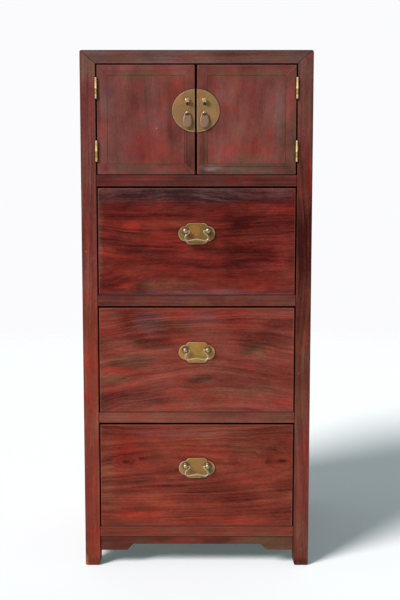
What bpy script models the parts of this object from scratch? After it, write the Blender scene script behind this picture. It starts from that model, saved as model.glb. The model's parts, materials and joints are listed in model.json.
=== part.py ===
"""Elm dresser: a pair of flush doors over three deep drawers, with brass fittings.

Metres, +Z up, the front faces -Y. The origin lies on the floor, in the middle
of the box round the whole dresser, from the knobs of the pulls to the back.
"""
import math

import bmesh
import bpy
from mathutils import Matrix, Vector

# Overall size of the case, without its pulls
WIDTH = 0.560
DEPTH = 0.510
HEIGHT = 1.270

# Fits and working values
FIT_GAP = 0.0003
CUT_OVERRUN = 0.004
SAME_PLACE = 0.00001
WOOD_EASE = 0.0015
PANEL_EASE = 0.0006
METAL_EASE = 0.0004
EASE_STEPS = 2
ARC_STEPS = 4
SMOOTH_ANGLE = 32

# Posts, rails and legs
POST_WIDTH = 0.0375
POST_DEPTH = 0.040
TOP_RAIL_HEIGHT = 0.032
RAIL_HEIGHT = 0.027
BOTTOM_RAIL_HEIGHT = 0.026
LEG_HEIGHT = 0.075
TOP_CORNER_RADIUS = 0.0045
FOOT_TAPER = 0.002
FOOT_RADIUS = 0.004
TENON_LENGTH = 0.014
TENON_THICKNESS = 0.010
TENON_HEIGHT = 0.014
TENON_SETBACK = 0.010
TOP_TENON_HEIGHT = 0.006
TOP_TENON_RISE = 0.0012
SIDE_TENON_HEIGHT = 0.028
DRAWER_COUNT = 3

# Apron and the shaped lower side rails
APRON_THICKNESS = 0.016
APRON_SETBACK = 0.003
APRON_DROP = 0.021
BRACKET_DROP = 0.037
BRACKET_LENGTH = 0.0635
BRACKET_RUN = 0.022
OGEE_STEPS = 8
SIDE_RAIL_THICKNESS = 0.028

# Panels that sit in grooves
GROOVE_DEPTH = 0.008
SIDE_PANEL_THICKNESS = 0.010
SIDE_PANEL_SETBACK = 0.006
BACK_PANEL_THICKNESS = 0.008
BACK_PANEL_SETBACK = 0.008
TOP_PANEL_THICKNESS = 0.014
TOP_PANEL_LIP = 0.006
FLOOR_THICKNESS = 0.010
FLOOR_HOUSING = 0.003

# Doors
DOOR_THICKNESS = 0.020
DOOR_SIDE_GAP = 0.003
DOOR_CENTRE_GAP = 0.005
DOOR_MEETING_X = -0.0018
DOOR_TOP_GAP = 0.0025
DOOR_BOTTOM_GAP = 0.0015
DOOR_FRAME_FACE = 0.025
DOOR_TONGUE = 0.006
DOOR_PANEL_LIP = 0.006
DOOR_PANEL_THICKNESS = 0.013

# Drawers and what they run on
FRONT_THICKNESS = 0.020
FRONT_SIDE_GAP = 0.0028
FRONT_TOP_GAP = 0.0038
FRONT_BOTTOM_GAP = 0.001
FRONT_LAP = 0.010
BOX_THICKNESS = 0.012
BOX_TOP_DROP = 0.010
BOTTOM_THICKNESS = 0.006
BOTTOM_RISE = 0.010
BOTTOM_TONGUE = 0.005
RUNNER_SEAT = 0.018
RUNNER_THICKNESS = 0.022
REAR_BAR_DEPTH = 0.022
GUIDE_HEIGHT = 0.024
STOP_LENGTH = 0.016

# Butt hinges
HINGE_LENGTH = 0.050
HINGE_INSET = 0.0305
BARREL_RADIUS = 0.003
PIN_RADIUS = 0.0012
PIN_CLEARANCE = 0.0004
LEAF_THICKNESS = 0.001
LEAF_DEPTH = 0.016
KNUCKLE_COUNT = 5
BARREL_STEPS = 14
PIN_SIDES = 12

# Round plate on the doors, its lock eyes and its drops
DISC_HALF_WIDTH = 0.0572
DISC_HALF_HEIGHT = 0.0512
DISC_RISE = 0.021
DISC_STEPS = 28
PLATE_THICKNESS = 0.0016
EYE_SPREAD = 0.041
EYE_STEPS = 6
EYE_HOLE_SIDES = 12
LOCK_EYE_RISE = 0.0235
LOCK_EYE_REACH = 0.0075
LOCK_EYE_HOLE_RADIUS = 0.0032
LOCK_EYE_WALL = 0.0024
LOCK_EYE_WIDTH = 0.0095
DROP_EYE_FALL = 0.0066
DROP_EYE_REACH = 0.0055
DROP_EYE_HOLE_RADIUS = 0.0020
DROP_EYE_WALL = 0.0022
DROP_EYE_WIDTH = 0.0036
DROP_LENGTH = 0.0345
DROP_WIDTH = 0.021
DROP_THICKNESS = 0.0020
DROP_BAR_HEIGHT = 0.0022
DROP_HOLE_CLEARANCE = 0.0014
DROP_LENGTH_SHARES = (0.00, 0.04, 0.18, 0.36, 0.52, 0.66, 0.78, 0.88, 0.96, 1.00)
DROP_WIDTH_SHARES = (0.34, 0.46, 0.62, 0.88, 1.00, 1.00, 0.94, 0.80, 0.52, 0.12)

# Drawer pulls: a lobed plate, two knobs and a bail
PULL_RISE = 0.018
PULL_WIDTH = 0.0898
PULL_HEIGHT = 0.0515
PULL_CORE_WIDTH = 0.054
PULL_CORNER_RADIUS = 0.011
PULL_LOBE_RADIUS = 0.0185
PULL_ARC_STEPS = 6
KNOB_SPREAD = 0.055
KNOB_RISE = 0.007
KNOB_RADIUS = 0.0067
KNOB_REACH = 0.0090
KNOB_STEM_RADIUS = 0.0036
KNOB_STEPS = 12
BAIL_RADIUS = 0.0019
BAIL_CLEARANCE = 0.0005
BAIL_HOLE_SIDES = 8
BAIL_WIDTH = 0.059
BAIL_FALL = 0.0255
BAIL_BOW = 0.0037
BAIL_BEND = 0.0022
BAIL_CURVE_STEPS = 2
BAIL_ACROSS_SHARES = (0.12, 0.60, 0.97, 0.99)
BAIL_DOWN_SHARES = (0.20, 0.37, 0.58, 0.84)
BAIL_CORNER_SHARE = 0.78
BAIL_BOW_SHARE = 0.42

# Places that follow from the sizes
PULL_PROJECTION = FIT_GAP + PLATE_THICKNESS + KNOB_REACH + KNOB_RADIUS
FRONT_Y = (PULL_PROJECTION - DEPTH) / 2
BACK_Y = FRONT_Y + DEPTH
OPENING_HALF = WIDTH / 2 - POST_WIDTH
OPENINGS = DRAWER_COUNT + 1
OPENING_HEIGHT = (HEIGHT - TOP_RAIL_HEIGHT - DRAWER_COUNT * RAIL_HEIGHT
                  - BOTTOM_RAIL_HEIGHT - LEG_HEIGHT) / OPENINGS
APRON_Z = LEG_HEIGHT - APRON_DROP
BRACKET_Z = LEG_HEIGHT - BRACKET_DROP
FRONT_POST_BACK = FRONT_Y + POST_DEPTH
REAR_POST_FRONT = BACK_Y - POST_DEPTH
SIDE_PANEL_OUTER = WIDTH / 2 - SIDE_PANEL_SETBACK
SIDE_PANEL_INNER = SIDE_PANEL_OUTER - SIDE_PANEL_THICKNESS
BACK_PANEL_BACK = BACK_Y - BACK_PANEL_SETBACK
BACK_PANEL_FRONT = BACK_PANEL_BACK - BACK_PANEL_THICKNESS
PLATE_BACK = FRONT_Y - FIT_GAP
PLATE_FACE = PLATE_BACK - PLATE_THICKNESS
HINGE_X = OPENING_HALF - DOOR_SIDE_GAP / 2
HINGE_Y = FRONT_Y - FIT_GAP - BARREL_RADIUS

# Looks: colour, roughness and metallic value
POST_ELM = ((0.185, 0.052, 0.036), 0.38, 0.0)
RAIL_ELM = ((0.165, 0.050, 0.036), 0.38, 0.0)
DOOR_ELM = ((0.215, 0.085, 0.068), 0.42, 0.0)
DRAWER_ELM = ((0.130, 0.030, 0.022), 0.35, 0.0)
BARE_WOOD = ((0.330, 0.210, 0.120), 0.70, 0.0)
OLD_BRASS = ((0.300, 0.215, 0.085), 0.42, 1.0)
BRIGHT_BRASS = ((0.560, 0.400, 0.130), 0.30, 1.0)


def clear_scene():
    """Start from an empty scene."""
    for item in list(bpy.data.objects):
        bpy.data.objects.remove(item, do_unlink=True)


def opening_floor(level):
    """Height of the rail top under an opening, counted up from the lowest."""
    return LEG_HEIGHT + BOTTOM_RAIL_HEIGHT + level * (OPENING_HEIGHT + RAIL_HEIGHT)


def drawer_level(number):
    """Drawer 1 is the top one, so its opening is the highest of the three."""
    return DRAWER_COUNT - number


def arc(centre, radius, start, end, steps):
    """Points of an arc in a plane, its angles in degrees."""
    points = []
    for step in range(steps + 1):
        angle = math.radians(start + (end - start) * step / steps)
        points.append((centre[0] + radius * math.cos(angle), centre[1] + radius * math.sin(angle)))
    return points


def ring(centre, radius, sides):
    """Points of a full circle in a plane, turned so that a side lies across each axis."""
    start = 180 / sides
    return arc(centre, radius, start, start + 360, sides)[:-1]


def spot(along, depth, a, b):
    """A place from its distance along one axis and its two other coordinates."""
    return Vector({"X": (depth, a, b), "Y": (a, depth, b), "Z": (a, b, depth)}[along])


def prism(outline, along, low, high):
    """Extrude a closed outline along an axis."""
    shape = bmesh.new()
    base = shape.faces.new([shape.verts.new(spot(along, low, a, b)) for a, b in outline])
    grown = bmesh.ops.extrude_face_region(shape, geom=[base])["geom"]
    moved = [item for item in grown if isinstance(item, bmesh.types.BMVert)]
    bmesh.ops.translate(shape, verts=moved, vec=spot(along, high - low, 0, 0))
    bmesh.ops.recalc_face_normals(shape, faces=shape.faces)
    return shape


def box(low, high):
    """A block between two opposite corners."""
    outline = ((low[0], low[1]), (high[0], low[1]), (high[0], high[1]), (low[0], high[1]))
    return prism(outline, "Z", low[2], high[2])


def ease(shape, width, chosen, steps=EASE_STEPS):
    """Round the edges whose two ends both lie where chosen says."""
    edges = [edge for edge in shape.edges if all(chosen(vert.co) for vert in edge.verts)]
    bmesh.ops.bevel(shape, geom=edges, offset=width, segments=steps, profile=0.5, affect="EDGES")
    return shape


def at_y(place):
    """A test for points in one plane square to Y."""
    return lambda point: abs(point.y - place) < SAME_PLACE


def tongued_board(along, levels, a_range, b_range, tongue, easing):
    """A panel with a tongue round it: its back, the tongue's front, and its face."""
    back, shoulder, face = levels
    a_low, a_high = a_range[0] - tongue, a_range[1] + tongue
    b_low, b_high = b_range[0] - tongue, b_range[1] + tongue
    outline = ((a_low, b_low), (a_high, b_low), (a_high, b_high), (a_low, b_high))
    shape = prism(outline, along, back, shoulder)
    out = spot(along, math.copysign(1, face - back), 0, 0)
    front = max(shape.faces, key=lambda item: item.calc_center_median().dot(out))
    bmesh.ops.inset_individual(shape, faces=[front], thickness=tongue, use_even_offset=True)
    grown = bmesh.ops.extrude_face_region(shape, geom=[front])["geom"]
    moved = [item for item in grown if isinstance(item, bmesh.types.BMVert)]
    bmesh.ops.translate(shape, verts=moved, vec=spot(along, face - shoulder, 0, 0))
    bmesh.ops.delete(shape, geom=[front], context="FACES_ONLY")
    edges = [item for item in grown if isinstance(item, bmesh.types.BMEdge)]
    bmesh.ops.bevel(shape, geom=edges, offset=easing, segments=1, affect="EDGES")
    return shape


def turned(profile, centre):
    """Spin a profile of (y, radius) pairs round the Y line through a centre."""
    shape = bmesh.new()
    verts = [shape.verts.new((centre[0] + radius, y, centre[1])) for y, radius in profile]
    edges = [shape.edges.new(pair) for pair in zip(verts, verts[1:])]
    bmesh.ops.spin(shape, geom=verts + edges, cent=(centre[0], 0, centre[1]), axis=(0, 1, 0),
                   angle=math.tau, steps=KNOB_STEPS, use_merge=True)
    bmesh.ops.remove_doubles(shape, verts=shape.verts, dist=SAME_PLACE)
    bmesh.ops.recalc_face_normals(shape, faces=shape.faces)
    return shape


def together(shapes):
    """Put several separate shapes into one."""
    whole = bmesh.new()
    for shape in shapes:
        mesh = bpy.data.meshes.new("shape")
        shape.to_mesh(mesh)
        shape.free()
        whole.from_mesh(mesh)
        bpy.data.meshes.remove(mesh)
    return whole


def world_place(carrier):
    """Where an empty stands; empties here are moved but never turned."""
    place = Vector()
    while carrier is not None:
        place += carrier.location
        carrier = carrier.parent
    return place


def add_carrier(name, place, parent=None):
    """An empty that carries a group of parts, on the axis of its joint."""
    carrier = bpy.data.objects.new(name, None)
    carrier.parent = parent
    carrier.location = Vector(place) - world_place(parent)
    bpy.context.collection.objects.link(carrier)
    return carrier


def hang_on(item, carrier):
    """Parent an item to an empty and leave it where its points say."""
    bpy.context.collection.objects.link(item)
    item.parent = carrier
    item.matrix_parent_inverse = Matrix.Translation(-world_place(carrier))


def give_finish(part, look):
    """Give a part a material of its own."""
    colour, roughness, metallic = look
    material = bpy.data.materials.new(part.name + "_finish")
    material.use_nodes = True
    shader = material.node_tree.nodes["Principled BSDF"]
    shader.inputs["Base Color"].default_value = (*colour, 1)
    shader.inputs["Roughness"].default_value = roughness
    shader.inputs["Metallic"].default_value = metallic
    part.data.materials.append(material)


def add_part(name, shape, look, carrier):
    """Turn a shape into a named part, with its round faces shaded smooth."""
    mesh = bpy.data.meshes.new(name)
    shape.to_mesh(mesh)
    shape.free()
    mesh.shade_smooth()
    mesh.set_sharp_from_angle(angle=math.radians(SMOOTH_ANGLE))
    part = bpy.data.objects.new(name, mesh)
    hang_on(part, carrier)
    give_finish(part, look)
    return part


def add_tool(name, shape, carrier):
    """A shape that only cuts or adds to parts."""
    mesh = bpy.data.meshes.new(name)
    shape.to_mesh(mesh)
    shape.free()
    tool = bpy.data.objects.new(name, mesh)
    tool.hide_render = True
    tool.display_type = "WIRE"
    hang_on(tool, carrier)
    return tool


def combine(part, tool, operation):
    """Cut a tool out of a part, or fuse it to the part."""
    modifier = part.modifiers.new(tool.name, "BOOLEAN")
    modifier.object = tool
    modifier.operation = operation
    modifier.solver = "EXACT"


def even_facets():
    """Cut every part's faces into triangles that are as far from slivers as they can be."""
    for part in bpy.data.objects:
        if part.type == "MESH" and not part.hide_render:
            modifier = part.modifiers.new("facets", "TRIANGULATE")
            modifier.ngon_method = "BEAUTY"


def room_for(low, high):
    """The block that a tenon or a panel edge fits into, with its fitting gap."""
    gap = Vector((FIT_GAP, FIT_GAP, FIT_GAP))
    return box(Vector(low) - gap, Vector(high) + gap)


def mirrored(outline, side):
    """An outline of the right side, taken over to the side asked for."""
    return [(side * a, b) for a, b in outline]


def post_outline():
    """Front view of the right post: tapered foot, rounded and mitred top."""
    outer = WIDTH / 2
    foot_inner = OPENING_HALF + FOOT_TAPER
    points = arc((foot_inner + FOOT_RADIUS, FOOT_RADIUS), FOOT_RADIUS, 180, 270, ARC_STEPS)
    points += arc((outer - FOOT_RADIUS, FOOT_RADIUS), FOOT_RADIUS, 270, 360, ARC_STEPS)
    top = (outer - TOP_CORNER_RADIUS, HEIGHT - TOP_CORNER_RADIUS)
    points += arc(top, TOP_CORNER_RADIUS, 0, 45, EASE_STEPS)
    return points + [(OPENING_HALF, HEIGHT - TOP_RAIL_HEIGHT), (OPENING_HALF, BRACKET_Z)]


def top_rail_outline():
    """Front view of the top rail, its ends mitred to the posts with a fitting gap."""
    corner_share = 1 - math.cos(math.radians(45))
    run = POST_WIDTH - TOP_CORNER_RADIUS * corner_share
    rise = TOP_RAIL_HEIGHT - TOP_CORNER_RADIUS * corner_share
    slip = FIT_GAP / math.sin(math.atan2(rise, run))
    corner = (WIDTH / 2 - TOP_CORNER_RADIUS - slip, HEIGHT - TOP_CORNER_RADIUS)
    half = [(OPENING_HALF - slip, HEIGHT - TOP_RAIL_HEIGHT)]
    half += arc(corner, TOP_CORNER_RADIUS, 45, 90, EASE_STEPS)
    return half + mirrored(half[::-1], -1)


def bracket_outline(half_length, top):
    """A rail whose lower edge drops in an ogee to a bracket at each end."""
    half = []
    for step in range(OGEE_STEPS + 1):
        share = step / OGEE_STEPS
        drop = (APRON_Z - BRACKET_Z) * (1 - math.cos(math.pi * share)) / 2
        half.append((half_length - BRACKET_LENGTH - BRACKET_RUN * (1 - share), APRON_Z - drop))
    half += [(half_length, BRACKET_Z), (half_length, top)]
    return half + mirrored(half[::-1], -1)


def build_posts(case):
    """Four posts that run from the floor to the mitres of the top frame."""
    posts = {}
    for side, side_name in ((-1, "left"), (1, "right")):
        for end_name, face, back in (("front", FRONT_Y, FRONT_POST_BACK),
                                     ("rear", BACK_Y, REAR_POST_FRONT)):
            shape = prism(mirrored(post_outline(), side), "Y", face, back)
            ease(shape, WOOD_EASE, at_y(face))
            name = "post_" + end_name + "_" + side_name
            posts[end_name, side] = add_part(name, shape, POST_ELM, case)
    return posts


def build_front_rails(case, posts):
    """The rails between the front posts, tenoned into them."""
    rails = [("rail_bottom", LEG_HEIGHT, BOTTOM_RAIL_HEIGHT)]
    for name, level in (("rail_below_drawer_2", 1), ("rail_below_drawer_1", 2),
                        ("rail_below_doors", 3)):
        rails.append((name, opening_floor(level) - RAIL_HEIGHT, RAIL_HEIGHT))
    half = OPENING_HALF - FIT_GAP
    reach = OPENING_HALF + TENON_LENGTH
    rooms = []
    for name, bottom, height in rails:
        shape = box((-half, FRONT_Y, bottom), (half, FRONT_POST_BACK, bottom + height))
        ease(shape, WOOD_EASE, at_y(FRONT_Y))
        rail = add_part(name, shape, RAIL_ELM, case)
        tenon_y = FRONT_Y + TENON_SETBACK
        tenon_z = bottom + (height - TENON_HEIGHT) / 2
        low = (-reach, tenon_y, tenon_z)
        high = (reach, tenon_y + TENON_THICKNESS, tenon_z + TENON_HEIGHT)
        combine(rail, add_tool(name + "_tenons", box(low, high), case), "UNION")
        rooms.append(room_for(low, high))
    mortises = add_tool("front_mortises", together(rooms), case)
    for side in (-1, 1):
        combine(posts["front", side], mortises, "DIFFERENCE")


def build_top_frame(case):
    """Front and rear top rails, mitred to the posts."""
    rails = []
    for name, face, back in (("top_rail_front", FRONT_Y, FRONT_POST_BACK),
                             ("top_rail_rear", BACK_Y, REAR_POST_FRONT)):
        shape = prism(top_rail_outline(), "Y", face, back)
        rails.append(add_part(name, ease(shape, WOOD_EASE, at_y(face)), RAIL_ELM, case))
    return rails


def build_side_rails(case, posts, top_rails):
    """The top and bottom rails of both sides, with their tenons."""
    middle = (FRONT_Y + BACK_Y) / 2
    half = DEPTH / 2 - POST_DEPTH - FIT_GAP
    tenon_x = (SIDE_PANEL_OUTER + SIDE_PANEL_INNER) / 2
    found = {}
    for side, side_name in ((-1, "left"), (1, "right")):
        outer = side * WIDTH / 2
        top_low = HEIGHT - TOP_RAIL_HEIGHT
        shape = box((min(outer, side * OPENING_HALF), middle - half, top_low),
                    (max(outer, side * OPENING_HALF), middle + half, HEIGHT))
        ease(shape, WOOD_EASE, lambda point: abs(point.x - outer) < SAME_PLACE)
        top = add_part("top_rail_" + side_name, shape, RAIL_ELM, case)

        outline = bracket_outline(half, LEG_HEIGHT + BOTTOM_RAIL_HEIGHT)
        outline = [(middle + a, b) for a, b in outline]
        inner = side * (WIDTH / 2 - SIDE_RAIL_THICKNESS)
        shape = prism(outline, "X", outer, inner)
        ease(shape, WOOD_EASE, lambda point: abs(point.x - outer) < SAME_PLACE)
        bottom = add_part("side_rail_bottom_" + side_name, shape, RAIL_ELM, case)

        top_tenon = top_low + GROOVE_DEPTH + TOP_TENON_RISE
        tenons = ((top, top_tenon, TOP_TENON_HEIGHT), (bottom, APRON_Z, SIDE_TENON_HEIGHT))
        rooms = []
        for rail, tenon_z, tenon_height in tenons:
            low = (side * tenon_x - TENON_THICKNESS / 2, middle - half - TENON_LENGTH, tenon_z)
            high = (side * tenon_x + TENON_THICKNESS / 2, middle + half + TENON_LENGTH,
                    tenon_z + tenon_height)
            combine(rail, add_tool(rail.name + "_tenons", box(low, high), case), "UNION")
            rooms.append(room_for(low, high))
        mortises = add_tool("side_mortises_" + side_name, together(rooms), case)
        for part in (posts["front", side], posts["rear", side], *top_rails):
            combine(part, mortises, "DIFFERENCE")
        found[side] = (top, bottom)
    return found


def build_side_panels(case, posts, side_rails):
    """A thin panel in each side, in grooves of its posts and rails."""
    panels = []
    for side, side_name in ((-1, "left"), (1, "right")):
        edges = sorted((side * SIDE_PANEL_INNER, side * SIDE_PANEL_OUTER))
        top, bottom = side_rails[side]
        low = (edges[0], FRONT_POST_BACK - GROOVE_DEPTH,
               LEG_HEIGHT + BOTTOM_RAIL_HEIGHT - GROOVE_DEPTH)
        high = (edges[1], REAR_POST_FRONT + GROOVE_DEPTH, HEIGHT - TOP_RAIL_HEIGHT + GROOVE_DEPTH)
        panels.append(add_part("side_panel_" + side_name, box(low, high), POST_ELM, case))
        groove = add_tool("side_groove_" + side_name, room_for(low, high), case)
        for part in (posts["front", side], posts["rear", side], top, bottom):
            combine(part, groove, "DIFFERENCE")
    return panels


def build_back_and_top(case, posts, top_rails, side_rails):
    """The back panel and the flush top panel, both in grooves."""
    reach = OPENING_HALF + GROOVE_DEPTH
    low = (-reach, BACK_PANEL_FRONT, LEG_HEIGHT)
    high = (reach, BACK_PANEL_BACK, HEIGHT - TOP_RAIL_HEIGHT + GROOVE_DEPTH)
    add_part("back_panel", box(low, high), BARE_WOOD, case)
    groove = add_tool("back_groove", room_for(low, high), case)
    for part in (posts["rear", -1], posts["rear", 1], top_rails[1]):
        combine(part, groove, "DIFFERENCE")

    bottom = HEIGHT - TOP_PANEL_THICKNESS
    shoulder = HEIGHT - TOP_PANEL_LIP
    half = OPENING_HALF - FIT_GAP
    front = FRONT_POST_BACK + FIT_GAP
    rear = REAR_POST_FRONT - FIT_GAP
    shape = tongued_board("Z", (bottom, shoulder, HEIGHT), (-half, half), (front, rear),
                          GROOVE_DEPTH, PANEL_EASE)
    add_part("top_panel", shape, POST_ELM, case)
    low = (-half - GROOVE_DEPTH, front - GROOVE_DEPTH, bottom)
    high = (half + GROOVE_DEPTH, rear + GROOVE_DEPTH, shoulder)
    groove = add_tool("top_groove", room_for(low, high), case)
    for part in (*top_rails, side_rails[-1][0], side_rails[1][0]):
        combine(part, groove, "DIFFERENCE")


def build_apron(case):
    """The shaped apron under the bottom front rail."""
    outline = bracket_outline(OPENING_HALF - FIT_GAP, LEG_HEIGHT - FIT_GAP)
    face = FRONT_Y + APRON_SETBACK
    shape = prism(outline, "Y", face, face + APRON_THICKNESS)
    add_part("apron", ease(shape, WOOD_EASE, at_y(face)), RAIL_ELM, case)


def build_cupboard_floor(case, side_panels):
    """The board under the doors' cupboard; its front edge stops the doors."""
    inner = OPENING_HALF - FIT_GAP
    outer = SIDE_PANEL_INNER + FLOOR_HOUSING
    front = FRONT_Y + DOOR_THICKNESS + FIT_GAP
    behind_post = FRONT_POST_BACK + FIT_GAP
    before_post = REAR_POST_FRONT - FIT_GAP
    rear = BACK_PANEL_FRONT - FIT_GAP
    half = [(inner, front), (inner, behind_post), (outer, behind_post), (outer, before_post),
            (inner, before_post), (inner, rear)]
    bottom = opening_floor(DRAWER_COUNT) + FIT_GAP
    top = bottom + FLOOR_THICKNESS
    shape = prism(half + mirrored(half[::-1], -1), "Z", bottom, top)
    add_part("cupboard_floor", shape, BARE_WOOD, case)
    room = room_for((-outer, behind_post, bottom), (outer, before_post, top))
    housing = add_tool("floor_housing", room, case)
    for panel in side_panels:
        combine(panel, housing, "DIFFERENCE")


def drawer_rear():
    """Where the drawers end at the back when they are shut."""
    return REAR_POST_FRONT - 2 * FIT_GAP - STOP_LENGTH


def build_runner_frame(case, number):
    """A U of two runners and a rear bar, with side guides and rear stops."""
    floor = opening_floor(drawer_level(number))
    top = floor + FRONT_BOTTOM_GAP - FIT_GAP
    bottom = top - RUNNER_THICKNESS
    outer = SIDE_PANEL_INNER - FIT_GAP
    if number == DRAWER_COUNT:
        outer = WIDTH / 2 - SIDE_RAIL_THICKNESS - FIT_GAP
    between = OPENING_HALF - FIT_GAP
    inner = OPENING_HALF - FRONT_SIDE_GAP - RUNNER_SEAT
    front = FRONT_POST_BACK + FIT_GAP
    before_post = REAR_POST_FRONT - FIT_GAP
    rear = BACK_PANEL_FRONT - FIT_GAP
    half = [(inner, rear - REAR_BAR_DEPTH), (inner, front), (outer, front), (outer, before_post),
            (between, before_post), (between, rear)]
    shape = prism(half + mirrored(half[::-1], -1), "Z", bottom, top)
    frame = add_part("runner_frame_" + str(number), shape, BARE_WOOD, case)
    strips = []
    for side in (-1, 1):
        outline = [(OPENING_HALF, front), (outer, front), (outer, before_post),
                   (inner, before_post), (inner, before_post - STOP_LENGTH),
                   (OPENING_HALF, before_post - STOP_LENGTH)]
        strips.append(prism(mirrored(outline, side), "Z", bottom, top + GUIDE_HEIGHT))
    guides = add_tool("guides_" + str(number), together(strips), case)
    combine(frame, guides, "UNION")


def door_profile():
    """Section of a door frame piece: in from its outer edge, and back from its face."""
    face = DOOR_FRAME_FACE
    groove_front = DOOR_PANEL_LIP - FIT_GAP
    groove_back = DOOR_PANEL_THICKNESS + FIT_GAP
    groove_end = face - DOOR_TONGUE - FIT_GAP * 2
    profile = arc((WOOD_EASE, WOOD_EASE), WOOD_EASE, 180, 270, EASE_STEPS)
    profile += [(face - PANEL_EASE, 0), (face, PANEL_EASE), (face, groove_front),
                (groove_end, groove_front), (groove_end, groove_back), (face, groove_back),
                (face, DOOR_THICKNESS), (0, DOOR_THICKNESS)]
    return profile


def mitred_member(start, end, inward):
    """Carry the door's section from one mitred corner to the next."""
    run = (end - start).normalized()
    slip = FIT_GAP * math.sqrt(0.5)
    profile = door_profile()
    shape = bmesh.new()
    rings = []
    for corner, sense in ((start, 1), (end, -1)):
        rings.append([shape.verts.new(corner + inward * u + Vector((0, v, 0))
                                      + run * sense * (u + slip)) for u, v in profile])
    for here in range(len(profile)):
        after = (here + 1) % len(profile)
        shape.faces.new((rings[0][here], rings[0][after], rings[1][after], rings[1][here]))
    for ring in rings:
        shape.faces.new(ring)
    bmesh.ops.recalc_face_normals(shape, faces=shape.faces)
    return shape


def build_door(side, side_name, carrier):
    """One door: four mitred frame pieces round a flush panel."""
    hinge_edge = side * (OPENING_HALF - DOOR_SIDE_GAP)
    meeting_edge = DOOR_MEETING_X + side * DOOR_CENTRE_GAP / 2
    bottom = opening_floor(DRAWER_COUNT) + DOOR_BOTTOM_GAP
    top = HEIGHT - TOP_RAIL_HEIGHT - DOOR_TOP_GAP
    low, high = sorted((hinge_edge, meeting_edge))
    corners = [Vector((low, FRONT_Y, bottom)), Vector((high, FRONT_Y, bottom)),
               Vector((high, FRONT_Y, top)), Vector((low, FRONT_Y, top))]
    inwards = (Vector((0, 0, 1)), Vector((-1, 0, 0)), Vector((0, 0, -1)), Vector((1, 0, 0)))
    upright = {side: "_hinge_stile", -side: "_meeting_stile"}
    names = ("_bottom_rail", upright[1], "_top_rail", upright[-1])
    door = "door_" + side_name
    for index, name in enumerate(names):
        shape = mitred_member(corners[index], corners[(index + 1) % 4], inwards[index])
        add_part(door + name, shape, DOOR_ELM, carrier)
    inset = DOOR_FRAME_FACE + FIT_GAP
    levels = (FRONT_Y + DOOR_PANEL_THICKNESS, FRONT_Y + DOOR_PANEL_LIP, FRONT_Y)
    shape = tongued_board("Y", levels, (low + inset, high - inset), (bottom + inset, top - inset),
                          DOOR_TONGUE, PANEL_EASE)
    add_part(door + "_panel", shape, DOOR_ELM, carrier)


def leaf_outline(side, inward):
    """Plan of a hinge leaf: a strip that runs into the round of the barrel."""
    near = side * HINGE_X
    face = OPENING_HALF - FIT_GAP
    if inward:
        face = OPENING_HALF - DOOR_SIDE_GAP + FIT_GAP + LEAF_THICKNESS
    far_offset = face - HINGE_X
    near_offset = far_offset - LEAF_THICKNESS
    angles = [math.degrees(math.acos(offset / BARREL_RADIUS)) for offset in (far_offset, near_offset)]
    points = arc((HINGE_X, HINGE_Y), BARREL_RADIUS, angles[0], angles[1] - 360, BARREL_STEPS)
    rear = FRONT_Y + LEAF_DEPTH
    points += [(HINGE_X + near_offset, rear), (HINGE_X + far_offset, rear)]
    return mirrored(points, side), near


def build_hinge(side, name, bottom, case, door):
    """A butt hinge: the frame's leaf with three knuckles, the door's with two and the pin."""
    knuckle = HINGE_LENGTH / KNUCKLE_COUNT
    frame_outline, centre = leaf_outline(side, False)
    door_outline, _ = leaf_outline(side, True)
    leaves = ((name + "_frame_leaf", frame_outline, case, 1),
              (name + "_door_leaf", door_outline, door, 0))
    wide = BARREL_RADIUS + CUT_OVERRUN
    for leaf_name, outline, carrier, first_gap in leaves:
        shape = prism(outline, "Z", bottom, bottom + HINGE_LENGTH)
        leaf = add_part(leaf_name, shape, BRIGHT_BRASS, carrier)
        gaps = []
        for index in range(first_gap, KNUCKLE_COUNT, 2):
            low = bottom + index * knuckle - (FIT_GAP if index > 0 else CUT_OVERRUN)
            last = index == KNUCKLE_COUNT - 1
            high = bottom + (index + 1) * knuckle + (CUT_OVERRUN if last else FIT_GAP)
            gaps.append(box((centre - wide, HINGE_Y - wide, low), (centre + wide, FRONT_Y, high)))
        tool = add_tool(leaf_name + "_gaps", together(gaps), carrier)
        combine(leaf, tool, "DIFFERENCE")
        if carrier is case:
            hole = ring((centre, HINGE_Y), PIN_RADIUS + PIN_CLEARANCE, PIN_SIDES)
            shape = prism(hole, "Z", bottom - CUT_OVERRUN, bottom + HINGE_LENGTH + CUT_OVERRUN)
            combine(leaf, add_tool(leaf_name + "_bore", shape, carrier), "DIFFERENCE")
        else:
            pin = ring((centre, HINGE_Y), PIN_RADIUS, PIN_SIDES)
            shape = prism(pin, "Z", bottom, bottom + HINGE_LENGTH)
            combine(leaf, add_tool(leaf_name + "_pin", shape, carrier), "UNION")


def eye(centre_x, centre_z, reach, radius, wall, width):
    """A strap eye that stands out of the plate, and the hole through it along X."""
    centre = (PLATE_FACE - reach, centre_z)
    outer = radius + wall
    outline = [(PLATE_FACE + PLATE_THICKNESS / 2, centre_z + outer)]
    outline += arc(centre, outer, 90, 270, EYE_STEPS)
    outline += [(PLATE_FACE + PLATE_THICKNESS / 2, centre_z - outer)]
    body = prism(outline, "X", centre_x - width / 2, centre_x + width / 2)
    hole = ring(centre, radius, EYE_HOLE_SIDES)
    bore = prism(hole, "X", centre_x - width, centre_x + width)
    return body, bore


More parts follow.
